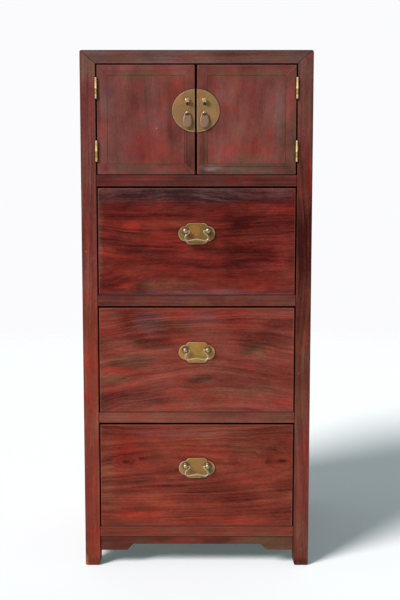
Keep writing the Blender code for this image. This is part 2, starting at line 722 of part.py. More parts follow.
def build_door_plate(side, side_name, carrier):
    """Half of the round plate, with its lock eye and the eye of its drop."""
    middle = opening_floor(DRAWER_COUNT) + OPENING_HEIGHT / 2 + DISC_RISE
    edge = math.degrees(math.acos(DOOR_CENTRE_GAP / 2 / DISC_HALF_WIDTH))
    flat = DISC_HALF_HEIGHT / DISC_HALF_WIDTH
    outline = [(DOOR_MEETING_X + side * a, middle + flat * b)
               for a, b in arc((0, 0), DISC_HALF_WIDTH, -edge, edge, DISC_STEPS)]
    shape = ease(prism(outline, "Y", PLATE_BACK, PLATE_FACE), METAL_EASE, at_y(PLATE_FACE), 1)
    plate = add_part("door_plate_" + side_name, shape, OLD_BRASS, carrier)
    x = DOOR_MEETING_X + side * EYE_SPREAD / 2
    lock_eye, lock_hole = eye(x, middle + LOCK_EYE_RISE, LOCK_EYE_REACH, LOCK_EYE_HOLE_RADIUS,
                              LOCK_EYE_WALL, LOCK_EYE_WIDTH)
    drop_eye, drop_hole = eye(x, middle - DROP_EYE_FALL, DROP_EYE_REACH, DROP_EYE_HOLE_RADIUS,
                              DROP_EYE_WALL, DROP_EYE_WIDTH)
    eyes = add_tool("door_plate_eyes_" + side_name, together((lock_eye, drop_eye)), carrier)
    holes = add_tool("door_plate_holes_" + side_name, together((lock_hole, drop_hole)), carrier)
    combine(plate, eyes, "UNION")
    combine(plate, holes, "DIFFERENCE")
    return Vector((x, PLATE_FACE - DROP_EYE_REACH, middle - DROP_EYE_FALL))


def build_drop(side_name, pivot, carrier):
    """A leaf-shaped drop whose top bar turns in its eye."""
    top = pivot.z + DROP_BAR_HEIGHT / 2
    half = []
    for length_share, width_share in zip(DROP_LENGTH_SHARES, DROP_WIDTH_SHARES):
        half.append((pivot.x + width_share * DROP_WIDTH / 2, top - length_share * DROP_LENGTH))
    other = [(2 * pivot.x - a, b) for a, b in half[::-1]]
    front = pivot.y - DROP_THICKNESS / 2
    shape = prism(half + other, "Y", front, front + DROP_THICKNESS)
    drop = add_part("drop_" + side_name, ease(shape, METAL_EASE, at_y(front), 1), OLD_BRASS, carrier)
    half_hole = DROP_EYE_WIDTH / 2 + DROP_HOLE_CLEARANCE
    hole_bottom = pivot.z - DROP_EYE_HOLE_RADIUS - DROP_EYE_WALL - DROP_HOLE_CLEARANCE
    low = (pivot.x - half_hole, pivot.y - DROP_THICKNESS, hole_bottom)
    high = (pivot.x + half_hole, pivot.y + DROP_THICKNESS, pivot.z - DROP_BAR_HEIGHT / 2)
    hole = add_tool("drop_hole_" + side_name, box(low, high), carrier)
    combine(drop, hole, "DIFFERENCE")


def build_doors(case):
    """Both doors with their hinges, plates and drops."""
    bottom = opening_floor(DRAWER_COUNT) + DOOR_BOTTOM_GAP
    top = HEIGHT - TOP_RAIL_HEIGHT - DOOR_TOP_GAP
    for side, side_name in ((-1, "left"), (1, "right")):
        door = add_carrier("door_" + side_name + "_hinge_line", (side * HINGE_X, HINGE_Y, bottom), case)
        build_door(side, side_name, door)
        build_hinge(side, "hinge_upper_" + side_name, top - HINGE_INSET - HINGE_LENGTH, case, door)
        build_hinge(side, "hinge_lower_" + side_name, bottom + HINGE_INSET, case, door)
        pivot = build_door_plate(side, side_name, door)
        swing = add_carrier("drop_" + side_name + "_pivot", pivot, door)
        build_drop(side_name, pivot, swing)


def pull_outline(centre_z):
    """Front view of a pull plate: a square core between two round lobes."""
    corner = (PULL_CORE_WIDTH / 2 - PULL_CORNER_RADIUS, PULL_HEIGHT / 2 - PULL_CORNER_RADIUS)
    lobe = (PULL_WIDTH / 2 - PULL_LOBE_RADIUS, 0)
    across, down = lobe[0] - corner[0], lobe[1] - corner[1]
    apart = math.hypot(across, down)
    along = (PULL_CORNER_RADIUS ** 2 - PULL_LOBE_RADIUS ** 2 + apart ** 2) / (2 * apart)
    aside = math.sqrt(PULL_CORNER_RADIUS ** 2 - along ** 2)
    notch = (corner[0] + (along * across - aside * down) / apart,
             corner[1] + (along * down + aside * across) / apart)
    lobe_end = math.degrees(math.atan2(notch[1] - lobe[1], notch[0] - lobe[0]))
    corner_start = math.degrees(math.atan2(notch[1] - corner[1], notch[0] - corner[0]))
    quarter = arc(lobe, PULL_LOBE_RADIUS, 0, lobe_end, PULL_ARC_STEPS)
    quarter += arc(corner, PULL_CORNER_RADIUS, corner_start, 90, ARC_STEPS)[1:]
    upper = quarter + mirrored(quarter[::-1], -1)
    lower = [(a, -b) for a, b in upper[-2:0:-1]]
    return [(a, centre_z + b) for a, b in upper + lower]


def build_pull(number, carrier):
    """The plate of a pull with its two drilled knobs."""
    middle = opening_floor(drawer_level(number)) + OPENING_HEIGHT / 2 + PULL_RISE
    shape = prism(pull_outline(middle), "Y", PLATE_BACK, PLATE_FACE)
    ease(shape, METAL_EASE, at_y(PLATE_FACE), 1)
    plate = add_part("pull_plate_" + str(number), shape, OLD_BRASS, carrier)
    pivot = Vector((0, PLATE_FACE - KNOB_REACH, middle + KNOB_RISE))
    neck = math.degrees(math.asin(KNOB_STEM_RADIUS / KNOB_RADIUS))
    profile = [(PLATE_FACE + PLATE_THICKNESS / 2, 0), (PLATE_FACE + PLATE_THICKNESS / 2, KNOB_STEM_RADIUS)]
    profile += arc((pivot.y, 0), KNOB_RADIUS, neck, 180, KNOB_STEPS // 2)
    profile[-1] = (pivot.y - KNOB_RADIUS, 0)
    knobs, bores = [], []
    for side in (-1, 1):
        x = side * KNOB_SPREAD / 2
        knobs.append(turned(profile, (x, pivot.z)))
        hole = ring((pivot.y, pivot.z), BAIL_RADIUS + BAIL_CLEARANCE, BAIL_HOLE_SIDES)
        bores.append(prism(hole, "X", x, x - side * KNOB_RADIUS * 2))
    combine(plate, add_tool("knobs_" + str(number), together(knobs), carrier), "UNION")
    combine(plate, add_tool("knob_bores_" + str(number), together(bores), carrier), "DIFFERENCE")
    return pivot


def bail_route():
    """Right half of the bail, from its pin in the knob to the middle of its grip."""
    knob = KNOB_SPREAD / 2
    inner = knob - KNOB_RADIUS - BAIL_CLEARANCE - BAIL_RADIUS - BAIL_BEND / 2
    side = BAIL_WIDTH / 2 - BAIL_RADIUS
    grip = BAIL_FALL - BAIL_RADIUS
    route = [(knob - BAIL_CLEARANCE, 0)]
    route += arc((inner + BAIL_BEND, -BAIL_BEND), BAIL_BEND, 90, 180, EASE_STEPS)
    for across, down in zip(BAIL_ACROSS_SHARES, BAIL_DOWN_SHARES):
        route.append((inner + across * (side - inner), -down * grip))
    route += [(BAIL_CORNER_SHARE * side, -grip), (BAIL_BOW_SHARE * side, BAIL_BOW / 2 - grip),
              (0, BAIL_BOW - grip)]
    return route


def build_bail(number, pivot, carrier):
    """A bent rod that swings on two pins."""
    right = bail_route()
    route = right + mirrored(right[-2::-1], -1)
    curve = bpy.data.curves.new("bail_" + str(number), "CURVE")
    curve.dimensions = "3D"
    curve.bevel_depth = BAIL_RADIUS
    curve.bevel_resolution = 2
    curve.resolution_u = BAIL_CURVE_STEPS
    curve.use_fill_caps = True
    spline = curve.splines.new("BEZIER")
    spline.bezier_points.add(len(route) - 1)
    for point, (a, b) in zip(spline.bezier_points, route):
        point.co = pivot + Vector((a, 0, b))
        point.handle_left_type = "AUTO"
        point.handle_right_type = "AUTO"
    for index in (0, 1, -2, -1):
        spline.bezier_points[index].handle_left_type = "VECTOR"
        spline.bezier_points[index].handle_right_type = "VECTOR"
    bail = bpy.data.objects.new("bail_" + str(number), curve)
    hang_on(bail, carrier)
    give_finish(bail, OLD_BRASS)


def build_drawer(number, case):
    """A drawer: lapped front, box of sides and back, bottom in a groove, and pull."""
    floor = opening_floor(drawer_level(number))
    half = OPENING_HALF - FRONT_SIDE_GAP
    bottom = floor + FRONT_BOTTOM_GAP
    top = floor + OPENING_HEIGHT - FRONT_TOP_GAP
    rear = drawer_rear()
    front_back = FRONT_Y + FRONT_THICKNESS
    slide = add_carrier("drawer_" + str(number) + "_slide", (0, FRONT_Y, bottom), case)

    shape = box((-half, FRONT_Y, bottom), (half, front_back, top))
    front = add_part("drawer_front_" + str(number), ease(shape, WOOD_EASE, at_y(FRONT_Y)),
                     DRAWER_ELM, slide)

    box_front = front_back - FRONT_LAP
    box_top = top - BOX_TOP_DROP
    inside = half - BOX_THICKNESS
    right = [(inside, rear - BOX_THICKNESS), (inside, box_front), (half, box_front), (half, rear)]
    shape = prism(right + mirrored(right[::-1], -1), "Z", bottom, box_top)
    sides = add_part("drawer_box_" + str(number), shape, BARE_WOOD, slide)
    laps = []
    for side in (-1, 1):
        x_range = sorted((side * (inside - FIT_GAP), side * (half + CUT_OVERRUN)))
        laps.append(box((x_range[0], box_front - FIT_GAP, bottom - CUT_OVERRUN),
                        (x_range[1], front_back + CUT_OVERRUN, box_top + FIT_GAP)))
    combine(front, add_tool("drawer_laps_" + str(number), together(laps), slide), "DIFFERENCE")

    low = (-inside - BOTTOM_TONGUE, front_back - BOTTOM_TONGUE, bottom + BOTTOM_RISE)
    high = (inside + BOTTOM_TONGUE, rear - BOX_THICKNESS + BOTTOM_TONGUE,
            bottom + BOTTOM_RISE + BOTTOM_THICKNESS)
    add_part("drawer_bottom_" + str(number), box(low, high), BARE_WOOD, slide)
    groove = add_tool("drawer_groove_" + str(number), room_for(low, high), slide)
    combine(sides, groove, "DIFFERENCE")
    combine(front, groove, "DIFFERENCE")

    pivot = build_pull(number, slide)
    build_bail(number, pivot, add_carrier("bail_" + str(number) + "_pivot", pivot, slide))


def main():
    """Build the whole dresser."""
    clear_scene()
    case = add_carrier("case_origin", (0, 0, 0))
    posts = build_posts(case)
    build_front_rails(case, posts)
    top_rails = build_top_frame(case)
    side_rails = build_side_rails(case, posts, top_rails)
    side_panels = build_side_panels(case, posts, side_rails)
    build_back_and_top(case, posts, top_rails, side_rails)
    build_apron(case)
    build_cupboard_floor(case, side_panels)
    build_doors(case)
    for number in range(1, DRAWER_COUNT + 1):
        build_runner_frame(case, number)
        build_drawer(number, case)
    even_facets()


main()
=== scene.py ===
"""A narrow elm dresser, two doors over three drawers: its lacquer, its brass fittings and a pale studio."""
import json
import math
from itertools import product

import bpy
import numpy as np
from bpy.props import FloatProperty, FloatVectorProperty, PointerProperty
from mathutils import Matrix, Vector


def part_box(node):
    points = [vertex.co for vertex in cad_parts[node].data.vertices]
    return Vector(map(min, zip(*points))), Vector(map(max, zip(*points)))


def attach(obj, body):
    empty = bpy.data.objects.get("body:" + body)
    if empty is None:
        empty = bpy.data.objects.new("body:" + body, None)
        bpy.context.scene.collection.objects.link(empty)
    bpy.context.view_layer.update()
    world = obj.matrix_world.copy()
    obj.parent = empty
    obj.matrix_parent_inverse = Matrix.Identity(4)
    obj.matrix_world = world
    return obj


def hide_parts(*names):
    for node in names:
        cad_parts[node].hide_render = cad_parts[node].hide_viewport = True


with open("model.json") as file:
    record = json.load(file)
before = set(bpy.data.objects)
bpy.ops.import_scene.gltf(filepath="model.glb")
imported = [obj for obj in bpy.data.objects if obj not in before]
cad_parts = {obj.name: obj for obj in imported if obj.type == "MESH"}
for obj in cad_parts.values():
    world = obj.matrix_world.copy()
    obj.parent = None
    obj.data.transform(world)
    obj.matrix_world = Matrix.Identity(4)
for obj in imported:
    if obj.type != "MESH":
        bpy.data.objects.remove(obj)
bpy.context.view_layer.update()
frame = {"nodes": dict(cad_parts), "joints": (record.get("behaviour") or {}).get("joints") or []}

bl_info = {
    "name": "Elm Dresser",
    "version": (1, 0, 0),
    "blender": (4, 5, 0),
    "location": "3D View > Sidebar > Dresser",
    "description": "Finishes a dresser's boards, makes its brass fittings and sets a studio round it",
    "category": "Object",
}

NODES = frame["nodes"]
SIDES = ((-1, "left"), (1, "right"))
LEVELS = ("upper", "lower")
NUMBERS = (1, 2, 3)
AXES = {"x": 0, "y": 1, "z": 2}
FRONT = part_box("drawer_front_1")[0].y
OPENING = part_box("post_front_right")[0].x


def paint(red, green, blue):
    """Linear light of a chart colour whose parts run from 0 to 255."""
    chart = np.array((red, green, blue)) / 255
    return tuple(np.where(chart <= 0.04045, chart / 12.92, ((chart + 0.055) / 1.055) ** 2.4).tolist())


def pivot_of(joint):
    """Place of a joint's axis at rest."""
    return np.array(next(j["pos_m"] for j in frame["joints"] if j["name"] == joint))


def colour(name, description, default):
    """A colour that a user can change."""
    return FloatVectorProperty(name=name, description=description, default=default, size=3, min=0, max=1,
                               subtype="COLOR")


def length(name, description, default):
    """A length that a user can change, in metres."""
    return FloatProperty(name=name, description=description, default=default, min=0, unit="LENGTH",
                         subtype="DISTANCE", precision=5)


def share(name, description, default, most=1.0):
    """A strength that a user can change."""
    return FloatProperty(name=name, description=description, default=default, min=0, max=most)


class DresserWood(bpy.types.PropertyGroup):
    """Colours and grain of the elm."""
    post_tone: colour("Posts", "Lacquer of the four posts and the sides", paint(116, 52, 38))
    top_tone: colour("Top", "Lacquer of the top frame and top panel", paint(100, 66, 58))
    rail_tone: colour("Rails", "Lacquer of the rails and aprons", paint(106, 50, 40))
    door_tone: colour("Doors", "Lacquer of the doors", paint(115, 62, 54))
    first_tone: colour("Top drawer", "Lacquer of the top drawer's front", paint(93, 29, 22))
    second_tone: colour("Middle drawer", "Lacquer of the middle drawer's front", paint(116, 54, 43))
    third_tone: colour("Bottom drawer", "Lacquer of the bottom drawer's front", paint(110, 46, 32))
    bare_tone: colour("Bare wood", "Wood without lacquer, inside and at the back", paint(176, 142, 104))
    red: colour("Red stain", "Where the stain took best", paint(142, 40, 28))
    crimson: colour("Crimson stain", "Cooler red in the doors' stain", paint(136, 54, 48))
    olive: colour("Olive streaks", "Grain that shows through the stain", paint(100, 76, 54))
    # Grey haze of old lacquer, partly a painted sheen in place of the lacquer's reflection
    bloom: colour("Bloom", "Dusty grey haze of old lacquer", paint(104, 78, 80))
    worn: colour("Worn edges", "Lacquer rubbed thin along the edges", paint(158, 110, 98))
    # Dark colour of the painted shade in the gaps, of the darker wood round the fittings, and of dark seams and
    # scratches
    grime: colour("Grime", "Wax and dust in the gaps round the doors and drawers", paint(20, 11, 9))
    gold: colour("Bare corners", "Wood where the lacquer has gone from a corner", paint(186, 122, 66))
    board_width: length("Back boards", "Width of the boards that are glued up for the back", 0.162)
    ring_spacing: length("Ring spacing", "Distance between two year rings", 0.0085)
    roughness: share("Roughness", "Roughness of the satin lacquer", 0.42)
    gloss: share("Gloss", "Specular level of the lacquer", 0.10)


class DresserBrass(bpy.types.PropertyGroup):
    """Colours of the metal."""
    disc: colour("Round plate", "Brass of the round plate on the doors", paint(160, 122, 82))
    old: colour("Pull plates", "Brass of the pull plates", paint(158, 122, 60))
    # The pale rim is partly rubbed brass and partly a painted highlight along the plates' rounded edges
    rim: colour("Plate rims", "Brass rubbed pale along the plates' edges", paint(190, 151, 130))
    tarnish: colour("Tarnish", "Darker skin on the old brass", paint(128, 98, 58))
    # Dark colour of the painted shade under the eyes and round the knobs, and the knobs' own tarnish
    hollow: colour("Hollows", "Dark dirt where the brass is never touched", paint(52, 38, 24))
    bright: colour("Bright brass", "Brass of the hinges", paint(244, 208, 134))
    peach: colour("Rubbed hinge", "Where the hinges are rubbed brightest", paint(250, 214, 164))
    pale: colour("Pale metal", "Bails and eyes, rubbed bright", paint(196, 168, 144))
    knob: colour("Knobs", "Smoked metal of the knobs", paint(176, 160, 130))
    copper: colour("Coppery drops", "Pinkish metal of the drops", paint(158, 124, 100))
    orange: colour("Orange patina", "Reddish patches in the brass's skin", paint(176, 112, 58))
    green: colour("Green patina", "Olive patches in the brass's skin", paint(140, 122, 58))
    verdigris: colour("Verdigris", "Green crust in the corners", paint(86, 116, 84))


class DresserFittings(bpy.types.PropertyGroup):
    """Sizes of the fittings. They match the solids of the part."""
    plate_thickness: length("Plate", "Thickness of the plates", 0.0016)
    plate_rim: length("Plate rim", "Radius of a plate's front edge", 0.0006)
    plate_crown: length("Plate crown", "How far the middle of a plate stands forward", 0.0004)
    lock_rise: length("Lock eye height", "Height of the lock eyes over the round plate's middle", 0.0235)
    lock_width: length("Lock eye width", "Width of a lock eye", 0.0095)
    pull_core: length("Pull core", "Width of the square part of a pull plate", 0.054)
    pull_corner: length("Pull corner", "Radius of the square part's corners", 0.011)
    lobe_radius: length("Pull lobe", "Radius of the round ends of a pull plate", 0.0185)
    knob_radius: length("Knob", "Radius of a pull's knobs", 0.0067)
    knob_stem: length("Knob stem", "Radius of the stem behind a knob", 0.0036)
    knob_spread: length("Knob spread", "Distance between the two knobs", 0.055)
    bail_radius: length("Bail rod", "Radius of the bail's rod", 0.0017)
    bail_width: length("Bail width", "Width of the bail over its rod", 0.059)
    bail_fall: length("Bail fall", "From the knobs' middle to the underside of the bail", 0.0255)
    bail_bow: length("Bail bow", "How far the middle of the grip curves up", 0.0031)
    drop_width: length("Drop width", "Width of a drop", 0.021)
    drop_length: length("Drop length", "Length of a drop", 0.0345)
    hinge_length: length("Hinge length", "Length of a hinge", 0.050)
    barrel_radius: length("Hinge barrel", "Radius of a hinge's knuckles", 0.0025)
    screw_radius: length("Hinge screw", "Radius of a screw's head", 0.0027)


class DresserStage(bpy.types.PropertyGroup):
    """Light and camera."""
    key_strength: share("Key light", "Strength of the large soft lamp", 3.68, 10.0)
    key_azimuth: FloatProperty(name="Key azimuth", description="How far left of the front the lamp stands",
                               default=math.radians(51.8), subtype="ANGLE", unit="ROTATION")
    key_height: FloatProperty(name="Key height", description="Height of the lamp over the horizon",
                              default=math.radians(37.5), subtype="ANGLE", unit="ROTATION")
    key_size: FloatProperty(name="Key size", description="Angle that the lamp fills, which softens shadows",
                            default=math.radians(22.5), subtype="ANGLE", unit="ROTATION")
    fill: share("Fill", "Light from all round", 0.20, 2.0)
    haze: colour("Floor haze", "Pale light that only the camera sees over the floor's shadows",
                 (0.040, 0.088, 0.096))
    floor_tone: colour("Floor", "Colour of the pale floor", paint(254, 253, 254))
    backdrop: colour("Backdrop", "What the camera sees behind the dresser", paint(251, 251, 253))
    distance: length("Camera distance", "From the dresser's front to the camera", 1.9515)
    sideways: length("Camera sideways", "How far right of the middle the camera stands", 0.008)
    height: length("Camera height", "Height of the camera over the floor", 0.842)
    tilt: FloatProperty(name="Camera tilt", description="How far the camera looks down",
                        default=math.radians(5), subtype="ANGLE", unit="ROTATION")



# Materials

class Recipe:
    """The nodes of a material or a world in the making, with short ways to add and join them."""

    def __init__(self, owner):
        owner.use_nodes = True
        self.owner, self.tree = owner, owner.node_tree
        self.tree.nodes.clear()

    def node(self, kind, inputs, **settings):
        """Add a node; an input is another node's socket or a plain value."""
        made = self.tree.nodes.new("ShaderNode" + kind)
        for key, value in settings.items():
            setattr(made, key, value)
        for key, value in inputs.items():
            socket = made.inputs[key]
            if isinstance(value, bpy.types.NodeSocket):
                self.tree.links.new(value, socket)
            elif socket.type == "RGBA":
                socket.default_value = (*value[:3], 1.0)
            else:
                socket.default_value = value
        return made

    def here(self):
        """Each point's place, in metres."""
        return self.node("TexCoord", {}).outputs["Object"]

    def split(self, vector):
        """The three parts of a place."""
        return self.node("SeparateXYZ", {0: vector}).outputs

    def join(self, *parts):
        """A place made of three parts."""
        return self.node("CombineXYZ", dict(enumerate(parts))).outputs[0]

    def math(self, operation, *terms, clamp=False):
        """One sum on numbers."""
        return self.node("Math", dict(enumerate(terms)), operation=operation, use_clamp=clamp).outputs[0]

    def vector(self, operation, *terms):
        """One sum on three numbers at a time; a length comes out as one number."""
        made = self.node("VectorMath", dict(enumerate(terms)), operation=operation)
        return made.outputs["Value" if operation in ("LENGTH", "DOT_PRODUCT") else "Vector"]

    def scaled(self, vector, factor):
        """A colour or place times one number."""
        return self.node("VectorMath", {0: vector, "Scale": factor}, operation="SCALE").outputs["Vector"]

    def apart(self, place, centre, weights):
        """Distance from a centre, with each direction weighted."""
        offset = self.vector("SUBTRACT", place, centre)
        return self.vector("LENGTH", self.vector("MULTIPLY", offset, weights))

    def step(self, value, low, high, first=0.0, last=1.0):
        """A soft step: first below low, last above high, and a smooth curve between."""
        return self.node("MapRange", {"Value": value, "From Min": low, "From Max": high, "To Min": first,
                                      "To Max": last}, interpolation_type="SMOOTHSTEP").outputs["Result"]

    def blend(self, factor, first, second):
        """Mix two colours."""
        return self.node("Mix", {0: factor, 6: first, 7: second}, data_type="RGBA").outputs[2]

    def noise(self, place, scale, detail=2.0, rough=0.5):
        """Smooth noise of about 0.2 to 0.8, stretched by three numbers per metre."""
        return self.node("TexNoise", {"Vector": self.vector("MULTIPLY", place, scale), "Scale": 1.0,
                                      "Detail": detail, "Roughness": rough}).outputs["Fac"]

    def swing(self, noise):
        """Noise that swings about nought."""
        return self.math("SUBTRACT", noise, 0.5)

    def total(self, start, *pairs):
        """Start plus each value times its weight."""
        for value, weight in pairs:
            start = self.math("MULTIPLY_ADD", value, weight, start)
        return start

    def graded(self, tone, depth, stops):
        """A colour made darker or lighter by the stops of a ramp over depth."""
        shade = self.node("ValToRGB", {0: depth})
        ramp = shade.color_ramp.elements
        ramp.remove(ramp[1])
        for number, (place, light) in enumerate(stops):
            stop = ramp.new(place) if number else ramp[0]
            stop.position, stop.color = place, (*light, 1.0)
        return self.vector("MULTIPLY", tone, shade.outputs[0])

    def surface(self, tone, roughness, bump_height, bump_size, **sockets):
        """Close the material with its shader, bump and output."""
        bump = self.node("Bump", {"Height": bump_height, "Distance": bump_size, "Strength": 1.0})
        shader = self.node("BsdfPrincipled", {"Base Color": tone, "Roughness": roughness,
                                              "Normal": bump.outputs[0], **sockets})
        self.node("OutputMaterial", {"Surface": shader.outputs[0]})
        return self.owner


class Board:
    """How one board was cut and stained. Its places are metres from the board's middle."""
    heart = (0.1, 0.06)     # where the tree's heart lies: across and behind the board's middle
    lean = (0.02, 0.0)      # how far the heart leans across and back for each metre along
    figure = 1.0            # how much the year rings wander
    contrast = 0.6          # strength of the grain
    fine = 90.0             # streaks for each metre across
    red = 0.3               # strengths of the stain's three kinds of patch
    olive = 0.35
    # the bloom is a grey haze that is partly painted sheen
    bloom = 0.1
    hot = "red"             # which colour the red patches have
    patchy = 1.0            # strength of the light and dark patches
    round_patches = 1.0     # how much shorter than usual the patches are
    tint = (1.0, 1.0, 1.0)
    wear = 1.0              # how pale its edges are rubbed
    knots = ()              # place along and across, and size
    stains = {}             # one of the tables in STAINS
    scratches = ()          # lines from x, z to x, z in the object's frame, dark where the strength is negative
    gaps = ()               # axis and place of each plane that faces a gap; those faces get painted shade
    halos = ()              # darker wood round a fitting: a rounded box's x, z, half sizes and corner, and a strength

    def __init__(self, grain, tone, **changes):
        """Grain names the axes along and across the board, and field those of its patches."""
        self.grain, self.tone, self.field = grain, tone, grain
        for name, value in changes.items():
            setattr(self, name, value)


# Noise in the wood: pitch for each metre along, across and into the board, then octaves and roughness
GRAIN_NOISE = {"sway": ((2.4, 8.0, 8.0), 1.0), "ripple": ((13.0, 42.0, 42.0), 1.0),
               "grit": ((110.0, 330.0, 330.0), 2.0, 0.6), "speckle": ((260.0, 260.0, 260.0), 2.0, 0.7),
               "fibre": ((7.0, 520.0, 520.0), 3.0, 0.6), "pore": ((85.0, 1500.0, 1500.0), 1.0)}
# Noise in the stain, with a shift that keeps the kinds apart
PATCH_NOISE = {"cloud": ((0.0, 0.0, 0.0), (8.0, 16.0, 16.0), 4.0, 0.6),
               "drift": ((3.0, 9.0, 4.0), (7.0, 13.0, 13.0), 4.0, 0.6),
               "red": ((7.0, 2.0, 5.0), (13.0, 26.0, 26.0), 4.0, 0.65),
               "olive": ((1.0, 5.0, 8.0), (11.0, 28.0, 28.0), 4.0, 0.65)}
GRAIN_SHIFT = np.array((1.37, 0.71, 0.43))      # how far apart two boards lie in the noise, for each seed
PATCH_SHIFT = 3.7                               # the same for the stain, for each metre between them
LACQUER_RAMP = ((0.05, (0.30, 0.20, 0.22)), (0.5, (1.0, 1.0, 1.0)), (0.95, (1.80, 2.10, 2.10)))
BARE_RAMP = ((0.1, (0.50, 0.42, 0.36)), (0.9, (1.30, 1.26, 1.20)))
MILLIMETRES = 1000.0
SHARP_STAINS = ("worn", "gold")     # kinds with a clear outline, which only some boards have
MOST_STAIN = 0.92
EDGE_STAIN = 0.93                   # a stain further out than this share of the half width stays on the front
FRONT_SKIN = (0.002, 0.009)         # how deep such a stain begins and ends to fade
LEVEL = (1.0, 0.0, 1.0)             # weights that leave depth out
# Distances in metres within which a mark is full, and beyond which it is gone
SCRATCH_REACH, HALO_REACH, GAP_REACH = (0.0003, 0.0016), (0.0006, 0.0036), (0.0006, 0.0018)
WORN_REACH, WORN_EDGE = (0.0012, 0.0034), 0.26
# Depths in metres behind the front between which the painted shade of a gap changes, and its strength before and
# after
GAP_SHADE_BEGINS, GAP_SHADE_FADES = ((0.0001, 0.0009), 0.0, 1.0), ((0.003, 0.009), 1.0, 0.25)


def knotted(make, grain, ripple, distance, knots):
    """The ring distance with circles round each knot, and how dark the knots are."""
    dark, knot_shape, knot_rings = 0.0, (0.45, 1.0, 0.0), 0.31
    for along, across, size in knots:
        near = make.apart(grain, (along, across, 0.0), knot_shape)
        near = make.math("MULTIPLY_ADD", ripple, size * 0.9, near)
        inside = make.step(near, size * 0.5, size * 2.2, 1.0, 0.0)
        circle = make.math("ADD", near, knot_rings)
        distance = make.node("Mix", {0: inside, 2: distance, 3: circle}, data_type="FLOAT").outputs[0]
        dark = make.total(make.step(near, size * 0.12, size * 0.55, 1.0, 0.0), (dark, 1.0))
    return distance, dark


def nearest_edge(make, centred, half):
    """Distance to a box's nearest edge, which is the second smallest of the distances to its faces."""
    room = make.vector("SUBTRACT", tuple(half), make.vector("ABSOLUTE", centred))
    x, y, z = make.split(room)
    least, most = (make.math(kind, make.math(kind, x, y), z) for kind in ("MINIMUM", "MAXIMUM"))
    all_three = make.vector("DOT_PRODUCT", room, (1.0, 1.0, 1.0))
    return make.math("SUBTRACT", all_three, make.math("ADD", least, most))


def scratched(make, here, tone, board, wood):
    """A tone with the board's scratches, each a soft line round the stretch between its two ends."""
    for x0, z0, x1, z1, strength in board.scratches:
        run = np.array((x1 - x0, 0.0, z1 - z0))
        start = make.vector("SUBTRACT", here, (x0, 0.0, z0))
        along = make.vector("DOT_PRODUCT", start, tuple(run))
        gone = make.math("DIVIDE", along, float(run @ run), clamp=True)
        off = make.apart(start, make.scaled(tuple(run), gone), LEVEL)
        tone = make.blend(make.step(off, *SCRATCH_REACH, abs(strength), 0.0), tone,
                          wood.worn if strength > 0 else wood.grime)
    return tone


def halo_dirt(make, here, halos):
    """How much darker the wood is made round the fittings: it fades 3 mm outside each rounded box."""
    overlay, endless = 0.0, 1000.0
    for x, z, wide, high, corner, strength in halos:
        beyond = make.vector("ABSOLUTE", make.vector("SUBTRACT", here, (x, 0.0, z)))
        beyond = make.vector("SUBTRACT", beyond, (wide - corner, endless, high - corner))
        beyond = make.vector("LENGTH", make.vector("MAXIMUM", beyond, (0.0, 0.0, 0.0)))
        beyond = make.step(make.math("SUBTRACT", beyond, corner), *HALO_REACH, strength, 0.0)
        overlay = make.math("MAXIMUM", beyond, overlay)
    return overlay


def gap_dirt(make, spot, gaps):
    """How much painted shade lies on the faces of the gaps: all of it just behind the front, and little deep
    inside.
    """
    hidden = 0.0
    for letter, plane in gaps:
        near = make.math("ABSOLUTE", make.math("SUBTRACT", spot[AXES[letter]], plane))
        hidden = make.math("MAXIMUM", hidden, make.step(near, *GAP_REACH, 1.0, 0.0))
    behind, inside = (make.step(spot[1], *(FRONT + depth for depth in depths), *ends)
                      for depths, *ends in (GAP_SHADE_BEGINS, GAP_SHADE_FADES))
    return make.math("MULTIPLY", make.math("MULTIPLY", hidden, behind), inside)


